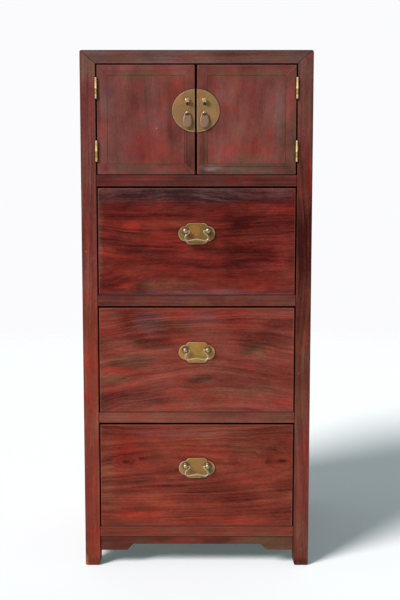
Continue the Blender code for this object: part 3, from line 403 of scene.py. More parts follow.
def elm(name, box, board, wood, seed):
    """Lacquered elm cut from one log.

    The distance R of a point from the heart line gives the year rings. Noise that is drawn out along the grain,
    read at R, makes streaks; the fraction of R over the ring spacing makes the dark line of each ring. Fibres
    and pores are finer noise. Patches of stain and of bloom, which is partly painted sheen, worn edges,
    scratches, darker wood round the fittings and painted shade in the gaps lie over them.
    """
    make = Recipe(bpy.data.materials.new(name))
    low, high = (np.array(corner) for corner in box)
    middle, half = (low + high) / 2, (high - low) / 2
    along, across = (AXES[letter] for letter in board.grain)
    here = make.here()
    spot, centred = make.split(here), make.vector("SUBTRACT", here, tuple(middle))
    parts = make.split(centred)
    a, c, d = parts[along], parts[across], parts[3 - along - across]
    grain = make.join(a, c, d)
    place = make.vector("ADD", grain, tuple(seed * GRAIN_SHIFT))
    first, second = (AXES[letter] for letter in board.field)
    field = make.join(parts[first], parts[second], parts[3 - first - second])
    patch = make.vector("ADD", field, tuple(middle * PATCH_SHIFT))
    patch = make.vector("MULTIPLY", patch, (board.round_patches, 1.0, 1.0))
    fine = {kind: make.noise(place, *pitch) for kind, pitch in GRAIN_NOISE.items()}
    wide = {kind: make.noise(make.vector("ADD", patch, shift), *pitch)
            for kind, (shift, *pitch) in PATCH_NOISE.items()}
    sway, ripple, cloud = make.swing(fine["sway"]), make.swing(fine["ripple"]), make.swing(wide["cloud"])

    beside = make.total(c, (a, -board.lean[0]), (sway, 0.055 * board.figure), (ripple, 0.010 * board.figure))
    beside = make.math("SUBTRACT", beside, board.heart[0])
    behind = make.total(d, (a, board.lean[1]), (sway, 0.05 * board.figure))
    behind = make.math("ADD", behind, board.heart[1])
    distance = make.vector("LENGTH", make.join(beside, behind, 0.0))
    distance, knot_dark = knotted(make, grain, ripple, distance, board.knots)
    rings = make.join(make.math("MULTIPLY", a, 2.2), make.math("MULTIPLY", distance, board.fine), seed * 3.1)
    streak = make.noise(rings, (1.0, 1.0, 1.0), 6.0, 0.68)
    hue = make.noise(make.vector("ADD", rings, (5.2, 31.7, 2.0)), (1.6, 2.0, 1.0), 3.0, 0.6)
    cycle = make.total(make.math("DIVIDE", distance, wood.ring_spacing), (ripple, 1.2))
    line = make.math("POWER", make.math("FRACT", cycle), 5.0)
    pore = make.step(fine["pore"], 0.60, 0.74)

    contrast = board.contrast
    streaky = min(1.0, contrast * 1.3) ** 2
    depth = make.total(0.53, (make.swing(streak), 1.6 * contrast), (make.swing(fine["fibre"]), 0.55 * contrast),
                       (make.swing(fine["grit"]), 0.45 * contrast), (make.swing(fine["speckle"]), 0.26),
                       (cloud, 0.75 * board.patchy), (line, -0.16 * contrast), (pore, -0.10),
                       (knot_dark, -0.28))
    shares = {"shade": depth,
              "red": make.total(make.step(wide["red"], 0.46, 0.64, 0.0, board.red),
                                (make.step(hue, 0.44, 0.60, 1.0, 0.0), board.red * 0.5 * streaky)),
              "olive": make.total(make.step(wide["olive"], 0.50, 0.66, 0.0, board.olive),
                                  (make.step(hue, 0.54, 0.66), board.olive * 0.4 * streaky)),
              "bloom": make.step(wide["drift"], 0.44, 0.62, 0.0, board.bloom), "worn": 0.0, "gold": 0.0}
    wobble = make.math("MULTIPLY_ADD", wide["drift"], 1.8, -0.9)
    fore = make.step(spot[1], *(float(low[1]) + skin for skin in FRONT_SKIN), 1.0, 0.0)
    for kind, rows in board.stains.items():
        for *sizes, strength in rows:
            at_a, at_c, long, broad = (size / MILLIMETRES for size in sizes)
            reach = make.apart(field, (at_a, at_c, 0.0), (1 / long, 1 / broad, 0.0))
            if kind in SHARP_STAINS:
                mask = make.step(reach, 0.5, 1.2, 1.0, 0.0)
            else:
                mask = make.step(make.math("ADD", reach, wobble), 0.35, 1.35, 1.0, 0.0)
            # A stain this far out, such as the painted shade along an outer edge, stays on the front face
            if abs(at_c) > EDGE_STAIN * half[across]:
                mask = make.math("MULTIPLY", mask, fore)
            shares[kind] = make.total(shares[kind], (mask, strength))

    tone = np.array(getattr(wood, board.tone)) * board.tint
    depth = shares.pop("shade")
    # Blend in the stains; the bloom is partly painted sheen
    for kind, strength in shares.items():
        if kind in board.stains or kind not in SHARP_STAINS:
            stain = getattr(wood, board.hot if kind == "red" else kind)
            tone = make.blend(make.math("MINIMUM", strength, MOST_STAIN), tone, stain)
    tone = make.graded(tone, depth, LACQUER_RAMP)
    rubbed = make.total(nearest_edge(make, centred, half), (cloud, 0.004))
    rubbed = make.step(rubbed, *WORN_REACH, WORN_EDGE * board.wear, 0.0)
    tone = scratched(make, here, make.blend(rubbed, tone, wood.worn), board, wood)
    # Darker wood round the fittings
    if board.halos:
        tone = make.blend(halo_dirt(make, here, board.halos), tone, wood.grime)
    # Painted shade on the faces of the gaps round the doors and drawers
    if board.gaps:
        tone = make.blend(gap_dirt(make, spot, board.gaps), tone, wood.grime)

    rough = make.total(wood.roughness, (cloud, 0.25), (line, 0.04), (rubbed, 0.1))
    height = make.total(0.0, (fine["fibre"], 0.30), (line, -0.35), (pore, -0.9), (streak, 0.4))
    return make.surface(tone, rough, height, bump_size=0.00016, **{"Specular IOR Level": wood.gloss})


def bare_elm(name, box, grain, wood, seed, width=1.0):
    """Bare pale elm: soft year bands and fine fibres, on boards of one width glued side by side."""
    make = Recipe(bpy.data.materials.new(name))
    along, across = (AXES[letter] for letter in grain)
    parts = make.split(make.vector("SUBTRACT", make.here(), tuple(np.mean(box, 0))))
    place = make.join(parts[along], parts[across], parts[3 - along - across])
    count = make.total(0.5, (parts[across], 1 / width))
    number = make.math("FLOOR", count)
    joint = make.step(make.math("PINGPONG", count, 0.5), 0.0002 / width, 0.0010 / width, 0.6, 0.0)
    place = make.vector("ADD", place, (seed * 0.91, seed * 0.37, seed * 0.53))
    place = make.vector("ADD", place, make.scaled((3.3, 1.7, 0.9), number))
    sway = make.swing(make.noise(place, (2.0, 7.0, 7.0), 1.0))
    swayed = make.vector("ADD", place, make.scaled((0.0, 0.09, 0.09), sway))
    band = make.noise(swayed, (0.9, 60.0, 34.0), 6.0, 0.68)
    shift = make.math("SINE", make.total(seed, (number, 2.3)))
    fibre = make.noise(place, (9.0, 480.0, 480.0), 2.0, 0.6)
    cloud = make.swing(make.noise(place, (4.0, 9.0, 9.0), 3.0))
    depth = make.total(0.5, (make.swing(band), 1.35), (make.swing(fibre), 0.5), (cloud, 0.9), (shift, 0.07),
                       (joint, -0.6))
    tone = make.graded(tuple(wood.bare_tone), depth, BARE_RAMP)
    height = make.total(0.0, (fibre, 0.6), (band, 0.5), (joint, -2.0))
    rough = make.total(0.66, (cloud, 0.2))
    return make.surface(tone, rough, height, bump_size=0.0002, **{"Specular IOR Level": 0.25})


def metal(name, tone, tarnish, roughness, cover, metallic=0.9, rim=None, spots=(), patina=()):
    """Hand-rubbed metal: clouds of darker tarnish, patches of patina, fine scratches, a paler rim that is partly
    a painted highlight, and spots that callers use for patina, painted shade and painted light.

    Cover is how much of it is tarnished. A spot is a place x, z, a radius, a colour and a strength.
    """
    make = Recipe(bpy.data.materials.new(name))
    here = make.here()
    cloud = make.noise(here, (55.0, 55.0, 55.0), 4.0, 0.6)
    speck = make.noise(here, (420.0, 420.0, 420.0), 3.0, 0.65)
    scratch = make.noise(here, (90.0, 900.0, 1700.0), 2.0, 0.6)
    dark = make.step(make.total(cover - 0.5, (cloud, 1.0), (make.swing(speck), 0.5)), 0.30, 0.72)
    tone = make.blend(dark, tone, tarnish)
    for number, skin in enumerate(patina):
        patch = make.noise(make.vector("ADD", here, (3.0 + number, 7.0, 1.0)), (38.0, 38.0, 38.0), 4.0, 0.65)
        tone = make.blend(make.step(patch, 0.48, 0.66, 0.0, 0.6), tone, skin)
    tone = make.scaled(tone, make.total(0.82, (scratch, 0.36)))
    rough = make.total(roughness, (dark, 0.14), (make.swing(scratch), 0.2))
    # The paler rim band: partly rubbed brass, partly a painted highlight on the rounded edge
    if rim is not None:
        band = make.node("Attribute", {}, attribute_name="rim").outputs["Fac"]
        kept = make.noise(make.vector("ADD", here, (0.4, 2.0, 6.0)), (24.0, 24.0, 24.0), 2.0)
        tone = make.blend(make.math("MULTIPLY", band, make.step(kept, 0.36, 0.62, 0.85, 0.22)), tone, rim)
    for x, z, size, overlay, strength in spots:
        reach = make.total(make.apart(here, (x, 0.0, z), LEVEL), (make.swing(speck), size * 0.8))
        mask = make.step(reach, size * 0.72, size * 1.08, strength, 0.0)
        tone = make.blend(mask, tone, overlay)
        rough = make.total(rough, (mask, 0.3))
    height = make.total(0.0, (speck, 0.5), (cloud, 1.2), (scratch, 0.3))
    return make.surface(tone, rough, height, bump_size=0.00012, Metallic=metallic)


def spoken(node):
    """A node's name in words."""
    return node.replace("_", " ")


def coat(node, material):
    """Give a carried-over solid its material."""
    NODES[node].data.materials.clear()
    NODES[node].data.materials.append(material)


def lacquer(node, board, wood, seed, box=None):
    """Give a carried-over board its lacquer, whose grain runs through the board's own box or a larger one."""
    coat(node, elm("elm " + spoken(node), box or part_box(node), board, wood, seed))


# Surfaces

SHARP_ANGLE = 40.0      # degrees between faces from which an edge is drawn sharp


def shell(rings, hoop=False):
    """Closed skin over a stack of closed rings, an array of rows, columns and three.

    Quads join each ring to the next, column by column, and the last column to the first. A hoop also joins the
    last ring to the first; any other stack ends in a fan of triangles from the middle of each end ring. Where
    the volume summed over the triangles is below zero, every face is turned round.
    """
    rows, columns = rings.shape[:2]
    index = np.arange(rows * columns).reshape(rows, columns)
    below, above = (index, np.roll(index, -1, 0)) if hoop else (index[:-1], index[1:])
    quads = np.stack((below, np.roll(below, -1, 1), np.roll(above, -1, 1), above), -1).reshape(-1, 4)
    points, fans = rings.reshape(-1, 3), np.empty((0, 3), int)
    if not hoop:
        start, end = np.full(columns, rows * columns), np.full(columns, rows * columns + 1)
        points = np.vstack((points, rings[0].mean(0), rings[-1].mean(0)))
        fans = np.vstack((np.stack((np.roll(index[0], -1), index[0], start), -1),
                          np.stack((index[-1], np.roll(index[-1], -1), end), -1)))
    corners = points[np.vstack((quads[:, :3], quads[:, [0, 2, 3]], fans))]
    if np.einsum("ij,ij->", corners[:, 0], np.cross(corners[:, 1], corners[:, 2])) < 0:
        quads, fans = quads[:, ::-1], fans[:, ::-1]
    return points, quads, fans


def add_piece(name, shells, material, body, slot, *stands_for):
    """Put closed skins into one object that rides on a body and may stand for solids."""
    counts = np.cumsum([0] + [len(skin[0]) for skin in shells])
    points = np.vstack([skin[0] for skin in shells])
    faces = [row for skin, start in zip(shells, counts) for part in skin[1:3]
             for row in (part + start).tolist()]
    rim = np.concatenate([skin[3] if len(skin) > 3 else np.zeros(len(skin[0])) for skin in shells])
    mesh = bpy.data.meshes.new(name)
    mesh.from_pydata(points.tolist(), [], faces)
    mesh.polygons.foreach_set("use_smooth", np.ones(len(faces), bool))
    mesh.set_sharp_from_angle(angle=math.radians(SHARP_ANGLE))
    mesh.materials.append(material)
    mesh.attributes.new("rim", "FLOAT", "POINT").data.foreach_set("value", rim)
    piece = bpy.data.objects.new(name, mesh)
    bpy.context.scene.collection.objects.link(piece)
    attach(piece, body)
    if stands_for:
        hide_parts(*stands_for)


def smooth_curve(points, steps, closed=False):
    """A curve through points: between two, the cubic whose slope at each is half the span of its neighbours."""
    points = np.asarray(points, float)
    if closed:
        before, after, beyond = np.roll(points, 1, 0), np.roll(points, -1, 0), np.roll(points, -2, 0)
        start = points
    else:
        padded = np.vstack((2 * points[0] - points[1], points, 2 * points[-1] - points[-2]))
        before, start, after, beyond = padded[:-3], padded[1:-2], padded[2:-1], padded[3:]
    t = (np.arange(steps) / steps)[None, :, None]
    before, start, after, beyond = (p[:, None, :] for p in (before, start, after, beyond))
    curve = 0.5 * (2 * start + (after - before) * t + (2 * before - 5 * start + 4 * after - beyond) * t ** 2
                   + (3 * start - before - 3 * after + beyond) * t ** 3)
    curve = curve.reshape(-1, points.shape[1])
    return curve if closed else np.vstack((curve, points[-1]))


def inset(outline, depth):
    """A closed outline drawn in.

    Each point moves along the sum of its edges' inward normals over one plus their dot product, which keeps
    every edge parallel.
    """
    ahead = np.roll(outline, -1, 0) - outline
    ahead /= np.linalg.norm(ahead, axis=1, keepdims=True)
    turned_left = np.stack((-ahead[:, 1], ahead[:, 0]), -1)
    previous = np.roll(turned_left, 1, 0)
    area = np.sum(outline[:, 0] * np.roll(outline[:, 1], -1) - outline[:, 1] * np.roll(outline[:, 0], -1))
    meeting = (turned_left + previous) / (1 + np.sum(turned_left * previous, 1, keepdims=True))
    return outline + np.sign(area) * depth * meeting


def set_axes(u, v, w, order):
    """Stack three coordinates, named by a word such as xzy, into places."""
    placed = {letter: part for letter, part in zip(order, (u, v, w))}
    return np.stack(np.broadcast_arrays(placed["x"], placed["y"], placed["z"]), -1)


def hammer_marks(x, z):
    """Soft dents of 6 to 12 mm: a sum of sines whose lengths never fall into step."""
    return np.sin(x * 610 + 1.3) * np.sin(z * 540) + 0.6 * np.sin(x * 1130 + z * 870)


def plate(outline, back, face, rim, crown=0.0, order="xzy", rings=9, dents=0.0, band=0.0):
    """A thin plate: its outline, a quarter-round rim, and a face that rises towards the middle.

    Across the face a ring is the outline shrunk by s, and stands out by crown times one less s squared, plus
    the hammer marks, which fade at the edge. The plate's back is flat. Where band is given, three more rings
    near the edge carry the mark of its rim, which fades from one to nought between 0.4 and 1.2 times band.
    """
    smallest, fade = 0.06, np.array((0.4, 0.8, 1.2))
    toward = np.sign(face - back)
    quarter = np.linspace(0, np.pi / 2, 5)
    stack = [(outline, back, 1.0)]
    stack += [(inset(outline, rim * (1 - math.cos(t))), face - toward * rim * (1 - math.sin(t)), 1.0)
              for t in quarter]
    edge = inset(outline, rim)
    centre = edge.mean(0)
    span = np.linalg.norm(edge - centre, axis=1).mean()
    shares = np.linspace(1, smallest, rings)[1:]
    if band:
        shares = np.concatenate((1 - fade * band / span, shares))
        shares = np.sort(shares[shares <= 1 - fade[0] * band / span])[::-1]
    for s in shares:
        flat = centre + (edge - centre) * s
        hammered = dents * hammer_marks(flat[:, 0], flat[:, 1]) * (1 - s ** 6)
        mark = np.interp((1 - s) * span / band, (fade[0], fade[-1]), (1, 0)) if band else 0.0
        stack.append((flat, face + toward * (crown * (1 - s ** 2) + hammered), mark))
    skin = shell(np.stack([set_axes(flat[:, 0], flat[:, 1], height, order) for flat, height, _ in stack]))
    marks = np.repeat([mark for _, _, mark in stack], len(outline))
    return *skin, np.concatenate((marks, (stack[0][2], stack[-1][2])))


def turned(profile, centre, axis, sides):
    """A profile of (place along the axis, radius) spun round an axis through a centre."""
    angle = np.arange(sides) * (2 * np.pi / sides)
    height, radius = (np.array(column)[:, None] for column in zip(*profile))
    first, second = [letter for letter in "xyz" if letter != axis]
    return shell(set_axes(centre[0] + radius * np.cos(angle), centre[1] + radius * np.sin(angle),
                          height, first + second + axis))


def arc(centre, radius, start, end, steps):
    """Points of an arc, its angles in degrees."""
    angle = np.radians(np.linspace(start, end, steps + 1))
    return np.stack((centre[0] + radius * np.cos(angle), centre[1] + radius * np.sin(angle)), -1)


def rod(path, radius, across, sides, squareness, hoop=False):
    """A rod along a flat path: at each point an oval section stands across the path.

    The section is the curve |u/p|^k + |v/q|^k = 1, with u along the path's normal in its plane, v along the
    plane's own normal, half sizes p and q, and squareness k.
    """
    path = np.asarray(path, float)
    if hoop:
        tangent = np.roll(path, -1, 0) - np.roll(path, 1, 0)
    else:
        tangent = np.gradient(path, axis=0)
    tangent /= np.linalg.norm(tangent, axis=1, keepdims=True)
    plane = np.asarray(across, float)
    normal = np.cross(plane, tangent)
    angle = np.arange(sides) * (2 * np.pi / sides)
    power = 2 / squareness
    u = np.sign(np.cos(angle)) * np.abs(np.cos(angle)) ** power
    v = np.sign(np.sin(angle)) * np.abs(np.sin(angle)) ** power
    half = np.broadcast_to(np.asarray(radius, float), (len(path), 2))
    rings = (path[:, None] + normal[:, None] * (u[None, :, None] * half[:, None, :1])
             + plane * (v[None, :, None] * half[:, None, 1:]))
    return shell(rings, hoop)


def screw_head(centre, radius, proud, toward, turn):
    """A slotted countersunk head that faces along x: a shallow dome, nearly flat within the slot's width."""
    x, y, z = centre
    slot, slot_floor, fall, sunk, sides = 0.16, 0.05, 0.6, 4, 48
    rho = np.linspace(1, 0.04, 14)[:, None]
    angle = np.arange(sides)[None] * (2 * np.pi / sides)
    u, v = radius * rho * np.cos(angle), radius * rho * np.sin(angle)
    off_slot = np.abs(u * math.sin(turn) - v * math.cos(turn))
    height = np.where(off_slot < radius * slot, proud * slot_floor, proud * (1 - fall * rho ** 2))
    height = np.vstack((np.full((1, sides), -proud * sunk), height))
    u, v = np.vstack((u[:1], u)), np.vstack((v[:1], v))
    return shell(set_axes(y + u, z + v, x + toward * height, "yzx"))


def lobed_outline(core, height, corner, lobe_radius, half_width):
    """Front view of a pull plate: a square with round corners joined to two round lobes.

    In each direction from the middle the outline lies where the ray leaves the furthest of the plate's simple
    parts: two bars, four corner circles and two lobe circles.
    """
    columns = 220
    angle = np.arange(columns) * (2 * np.pi / columns)
    ray = np.stack((np.cos(angle), np.sin(angle)), -1)
    across, up = core / 2, height / 2
    best = np.zeros(columns)
    with np.errstate(divide="ignore"):
        for wide, high in ((across, up - corner), (across - corner, up)):
            best = np.maximum(best, np.minimum(wide / np.abs(ray[:, 0]), high / np.abs(ray[:, 1])))
    circles = [(x, z, corner) for x in (corner - across, across - corner) for z in (corner - up, up - corner)]
    circles += [(side * (half_width - lobe_radius), 0.0, lobe_radius) for side in (-1, 1)]
    for x, z, radius in circles:
        toward = ray @ np.array((x, z))
        inside = radius ** 2 - x ** 2 - z ** 2 + toward ** 2
        leaves = np.where((inside > 0) & (toward > 0), toward + np.sqrt(np.maximum(inside, 0)), 0)
        best = np.maximum(best, leaves)
    return ray * best[:, None]


# Stains by board: rows of place along and across and half sizes along and across, in millimetres, and
# strength. Places are from the board's middle, or from the door's for its five boards. Shade below zero is dark.
# Bloom rows are partly painted sheen; a shade row along an outer front edge is painted shade.
STAINS = {
    "post_front_left": {
        # The second shade row is painted shade along the post's outer rounded front edge
        "shade": ((-628, 0, 12, 50, -0.2), (0, -18.7, 700, 2.2, -0.45)),
        "bloom": ((500, 0, 220, 50, 0.3), (200, 0, 160, 30, 0.15)),
        "red": ((560, 10, 80, 5, 0.5), (500, -13, 120, 4, 0.35), (-300, 0, 220, 50, 0.15),
                (-450, -12, 100, 6, 0.3)),
        "gold": ((-624, -18.5, 20, 7.5, 0.64),),
        "olive": ((600, 0, 40, 50, 0.65),),
        "worn": ((155, -8, 1.8, 1.6, 1.2), (-380, -13.6, 1.8, 1.5, 0.9)),
    },
    "post_front_right": {
        # The second shade row is painted shade along the post's outer rounded front edge
        "shade": ((160, 0, 260, 50, -0.3), (0, 18.7, 700, 2.2, -0.45), (-628, 0, 12, 50, -0.24),
                  (180, -6, 110, 12, -0.12), (200, 16, 100, 4, -0.25), (-150, 0, 100, 50, 0.04)),
        "olive": ((600, 0, 40, 50, 0.26), (530, 0, 100, 50, 0.12), (-80, 0, 260, 50, 0.14),
                  (-560, 0, 60, 30, 0.25)),
        "bloom": ((600, 0, 40, 50, 0.15), (500, 0, 160, 50, 0.14)),
        "red": ((622, 10, 10, 7, 0.6), (330, 13, 60, 6, 0.7), (-150, 17.5, 450, 2.5, 0.5),
                (-320, 2, 50, 12, 0.4)),
        "worn": ((-145, -10, 1.6, 1.6, 0.9),),
    },
    "top_rail_front": {
        "bloom": ((-250, 0, 35, 50, 0.35), (250, 0, 35, 50, 0.35)),
        "olive": ((-200, -2, 100, 10, 0.3), (170, -4, 120, 10, 0.3)),
        "red": ((20, 0, 100, 8, 0.3),),
        # This shade row is painted shade along the rail's top front edge
        "shade": ((0, 15.8, 400, 2.2, -0.45),),
    },
    "apron": {
        "olive": ((170, 0, 70, 30, 0.6),),
        "shade": ((190, 0, 60, 30, -0.12),),
    },
    "door_left": {
        "olive": ((105, -30, 12, 90, 0.45), (20, -85, 30, 12, 0.3), (-100, -70, 60, 14, 0.3),
                  (-75, 104, 50, 11, 0.35), (-110, -30, 10, 50, 0.45), (-50, -85, 30, 20, 0.3)),
        "red": ((55, 75, 35, 30, 0.4), (-65, -10, 40, 50, 0.35), (-60, 0, 50, 40, 0.3), (-117, 60, 6, 40, 0.5),
                (85, 80, 14, 20, 0.6)),
        "shade": ((0, 65, 50, 20, -0.1), (-70, 50, 50, 30, -0.08), (-75, 104, 50, 11, -0.14),
                  (-5, -20, 60, 60, -0.06), (-113, -100, 12, 14, -0.15), (30, -114, 50, 5, -0.12)),
        "worn": ((-20, 25.2, 2.2, 1.7, 1.2),),
        "bloom": ((50, -90, 50, 20, 0.35),),
    },
    "door_right": {
        "olive": ((105, 20, 12, 80, 0.4), (-112, 0, 12, 90, 0.35), (-50, 85, 60, 12, 0.3),
                  (-75, -104, 60, 11, 0.45), (-113, 0, 10, 110, 0.35), (-60, 112, 70, 10, 0.55),
                  (-90, 20, 10, 90, 0.35), (20, 82, 80, 14, 0.3)),
        "bloom": ((20, 75, 90, 12, 0.4), (-113, -85, 6, 30, 1)),
        "red": ((-90, -50, 30, 50, 0.3), (60, 0, 30, 50, 0.2), (-122, 40, 4, 70, 0.5), (60, 109, 30, 7, 0.5),
                (-45, 60, 45, 20, 0.45), (-78, 0, 20, 100, 0.45)),
        "shade": ((-75, -104, 60, 11, -0.18), (-60, 112, 70, 10, -0.1), (-113, -85, 6, 30, 0.16),
                  (-113, 55, 10, 60, -0.12)),
        "worn": ((-119, -88, 4, 18, 0.35),),
    },
    "drawer_front_1": {
        "bloom": ((-20, 118, 240, 26, 0.62), (0, -126, 240, 10, 0.4), (200, 115, 40, 20, 0.3)),
        "olive": ((40, 112, 120, 12, 0.4), (-236, 0, 8, 120, 0.35), (-80, -105, 80, 12, 0.35)),
        "shade": ((0, 112, 260, 30, -0.27), (-127, -20, 60, 15, -0.22), (160, 0, 110, 130, -0.13),
                  (50, 70, 90, 8, -0.15), (100, -60, 120, 8, -0.14), (-80, 70, 70, 10, -0.24),
                  (30, -18, 40, 4, -0.28), (105, 42, 25, 10, -0.22), (120, -20, 100, 100, -0.08)),
        "red": ((-161, 34, 24, 14, 0.75), (-182, -108, 38, 9, 0.85), (-222, 17, 30, 10, 0.5)),
    },
    "drawer_front_2": {
        "red": ((0, 110, 240, 30, 0.35), (-190, -30, 50, 14, 0.55), (-210, 70, 30, 12, 0.4),
                (210, -110, 30, 10, 0.4)),
        "shade": ((0, 110, 260, 34, -0.13), (-115, 40, 60, 14, -0.32), (-165, -2, 60, 22, -0.16),
                  (170, 0, 100, 100, -0.1), (16, -43, 28, 7, -0.3), (-6, -52, 30, 6, -0.3),
                  (135, 40, 40, 18, -0.18), (118, 20, 30, 8, -0.16), (80, 0, 16, 8, -0.15),
                  (200, 90, 40, 14, -0.12), (-100, -100, 70, 10, -0.1), (0, -115, 200, 14, 0.1)),
        "bloom": ((-118, 100, 35, 30, 0.42), (20, 105, 50, 20, 0.3)),
        "olive": ((-165, -2, 60, 22, 0.4), (-145, 40, 30, 6, 0.5), (8, -48, 34, 12, 0.5),
                  (128, 30, 40, 18, 0.35), (-200, -45, 50, 16, 0.3), (120, -80, 80, 20, 0.22),
                  (-80, 90, 80, 14, 0.35)),
    },
    "drawer_front_3": {
        "red": ((-180, 60, 50, 50, 0.55), (-160, -100, 90, 12, 0.45), (100, -115, 120, 10, 0.45)),
        "shade": ((-180, 60, 50, 50, -0.1), (80, 30, 35, 6, -0.24), (-60, -28, 110, 6, -0.18),
                  (60, -60, 140, 6, -0.14), (-130, -85, 80, 5, -0.2), (-168, 34, 18, 6, -0.15),
                  (197, 35, 30, 6, -0.2), (220, -30, 30, 20, -0.15)),
        "olive": ((100, 100, 140, 25, 0.12), (130, 70, 70, 12, 0.15), (-220, 0, 20, 100, 0.25)),
        "bloom": ((-50, 110, 120, 12, 0.18),),
    },
}


def gap_planes(low, high, axes="xz"):
    """Axis and place of the planes that bound a box along some axes."""
    return tuple((letter, corner[AXES[letter]]) for letter in axes for corner in (low, high))


def hinge_rims(name):
    """The rounded boxes of darker wood round the two hinges of a door."""
    half_width, half_height, corner, strength = 0.0028, 0.0255, 0.0010, 0.62
    x = pivot_of("door_" + name + "_swing")[0]
    heights = [np.mean(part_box("_".join(("hinge", level, name, "door_leaf"))), 0)[2] for level in LEVELS]
    return tuple((x, z, half_width, half_height, corner, strength) for z in heights)


# Operators

def studio_world(stage):
    """Even light, stronger low behind the dresser. The camera sees the backdrop, and metal sees a pale room."""
    world = bpy.data.worlds.new("studio")
    sky = Recipe(world)
    path = sky.node("LightPath", {}).outputs
    _, rear, up = sky.split(sky.node("TexCoord", {}).outputs["Generated"])
    glow = sky.math("MULTIPLY", sky.step(rear, -0.35, 0.75), sky.step(up, 0.30, 0.75, 1.0, 0.0))
    tinted = sky.scaled((0.95, 1.0, 1.02), sky.total(stage.fill, (glow, 0.45)))
    shine = sky.math("MAXIMUM", sky.step(rear, -0.8, 0.3, 0.13, 0.96), sky.step(up, 0.25, 0.95, 0.0, 0.7))
    lit = sky.blend(path["Is Glossy Ray"], tinted, sky.scaled((1.0, 1.0, 1.0), shine))
    seen = sky.math("MAXIMUM", path["Is Camera Ray"], path["Is Transmission Ray"])
    background = sky.node("Background", {"Color": sky.blend(seen, lit, stage.backdrop), "Strength": 1.0})
    sky.node("OutputWorld", {"Surface": background.outputs[0]})
    return world


def floor_mesh(radii=(5.0, 2.4, 1.0, 0.3), columns=96):
    """A flat disc: circles of some radii, joined by quads, with a fan in the smallest."""
    angle = np.arange(columns) * (2 * np.pi / columns)
    circle = np.stack((np.cos(angle), np.sin(angle), np.zeros(columns)), -1)
    rings = circle[None] * np.array(radii)[:, None, None]
    points = np.vstack((rings.reshape(-1, 3), (0.0, 0.0, 0.0)))
    index = np.arange(len(points) - 1).reshape(-1, columns)
    turned_on = np.roll(index, -1, 1)
    quads = np.stack((index[:-1], turned_on[:-1], turned_on[1:], index[1:]), -1)
    fan = np.stack((index[-1], turned_on[-1], np.full(columns, len(points) - 1)), -1)
    mesh = bpy.data.meshes.new("floor")
    mesh.from_pydata(points.tolist(), [], quads.reshape(-1, 4).tolist() + fan.tolist())
    return mesh


def floor_material(stage):
    """Pale matt floor that fades out far away, with a haze that only the camera and reflections see."""
    make = Recipe(bpy.data.materials.new("pale floor"))
    here = make.here()
    mottle = make.noise(here, (3.0, 3.0, 3.0), 3.0)
    tone = make.scaled(tuple(stage.floor_tone), make.total(0.985, (mottle, 0.02)))
    matt = make.node("BsdfDiffuse", {"Color": tone})
    path = make.node("LightPath", {}).outputs
    seen = make.math("MAXIMUM", path["Is Camera Ray"], path["Is Glossy Ray"])
    seen = make.math("MAXIMUM", seen, path["Is Transmission Ray"])
    haze = make.node("Emission", {"Color": stage.haze, "Strength": seen})
    hazy = make.node("AddShader", {0: matt.outputs[0], 1: haze.outputs[0]})
    clear = make.node("BsdfTransparent", {})
    away = make.step(make.vector("LENGTH", here), 2.6, 4.9)
    faded = make.node("MixShader", {0: away, 1: hazy.outputs[0], 2: clear.outputs[0]})
    make.node("OutputMaterial", {"Surface": faded.outputs[0]})
    return make.owner


class DRESSER_OT_stage(bpy.types.Operator):
    """Set the pale floor, the soft light and the camera"""
    bl_idname = "dresser.stage"
    bl_label = "Studio"

    def execute(self, context):
        scene, stage = context.scene, context.scene.dresser_stage
        scene.view_settings.view_transform = "Standard"
        scene.world = studio_world(stage)

        lamp = bpy.data.lights.new("key", "SUN")
        lamp.energy, lamp.angle = stage.key_strength, stage.key_size
        key = bpy.data.objects.new("key", lamp)
        key.rotation_euler = (math.pi / 2 - stage.key_height, 0.0, -stage.key_azimuth)
        floor = bpy.data.objects.new("floor", floor_mesh())
        floor.data.materials.append(floor_material(stage))

        lens = bpy.data.cameras.new("camera")
        lens.lens, lens.sensor_width = 48.0, 36.0
        camera = bpy.data.objects.new("camera", lens)
        camera.location = (stage.sideways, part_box("post_front_left")[0].y - stage.distance, stage.height)
        camera.rotation_euler = (math.pi / 2 - stage.tilt, 0.0, 0.0)
        for made in (key, floor, camera):
            scene.collection.objects.link(made)
        scene.camera = camera
        return {"FINISHED"}


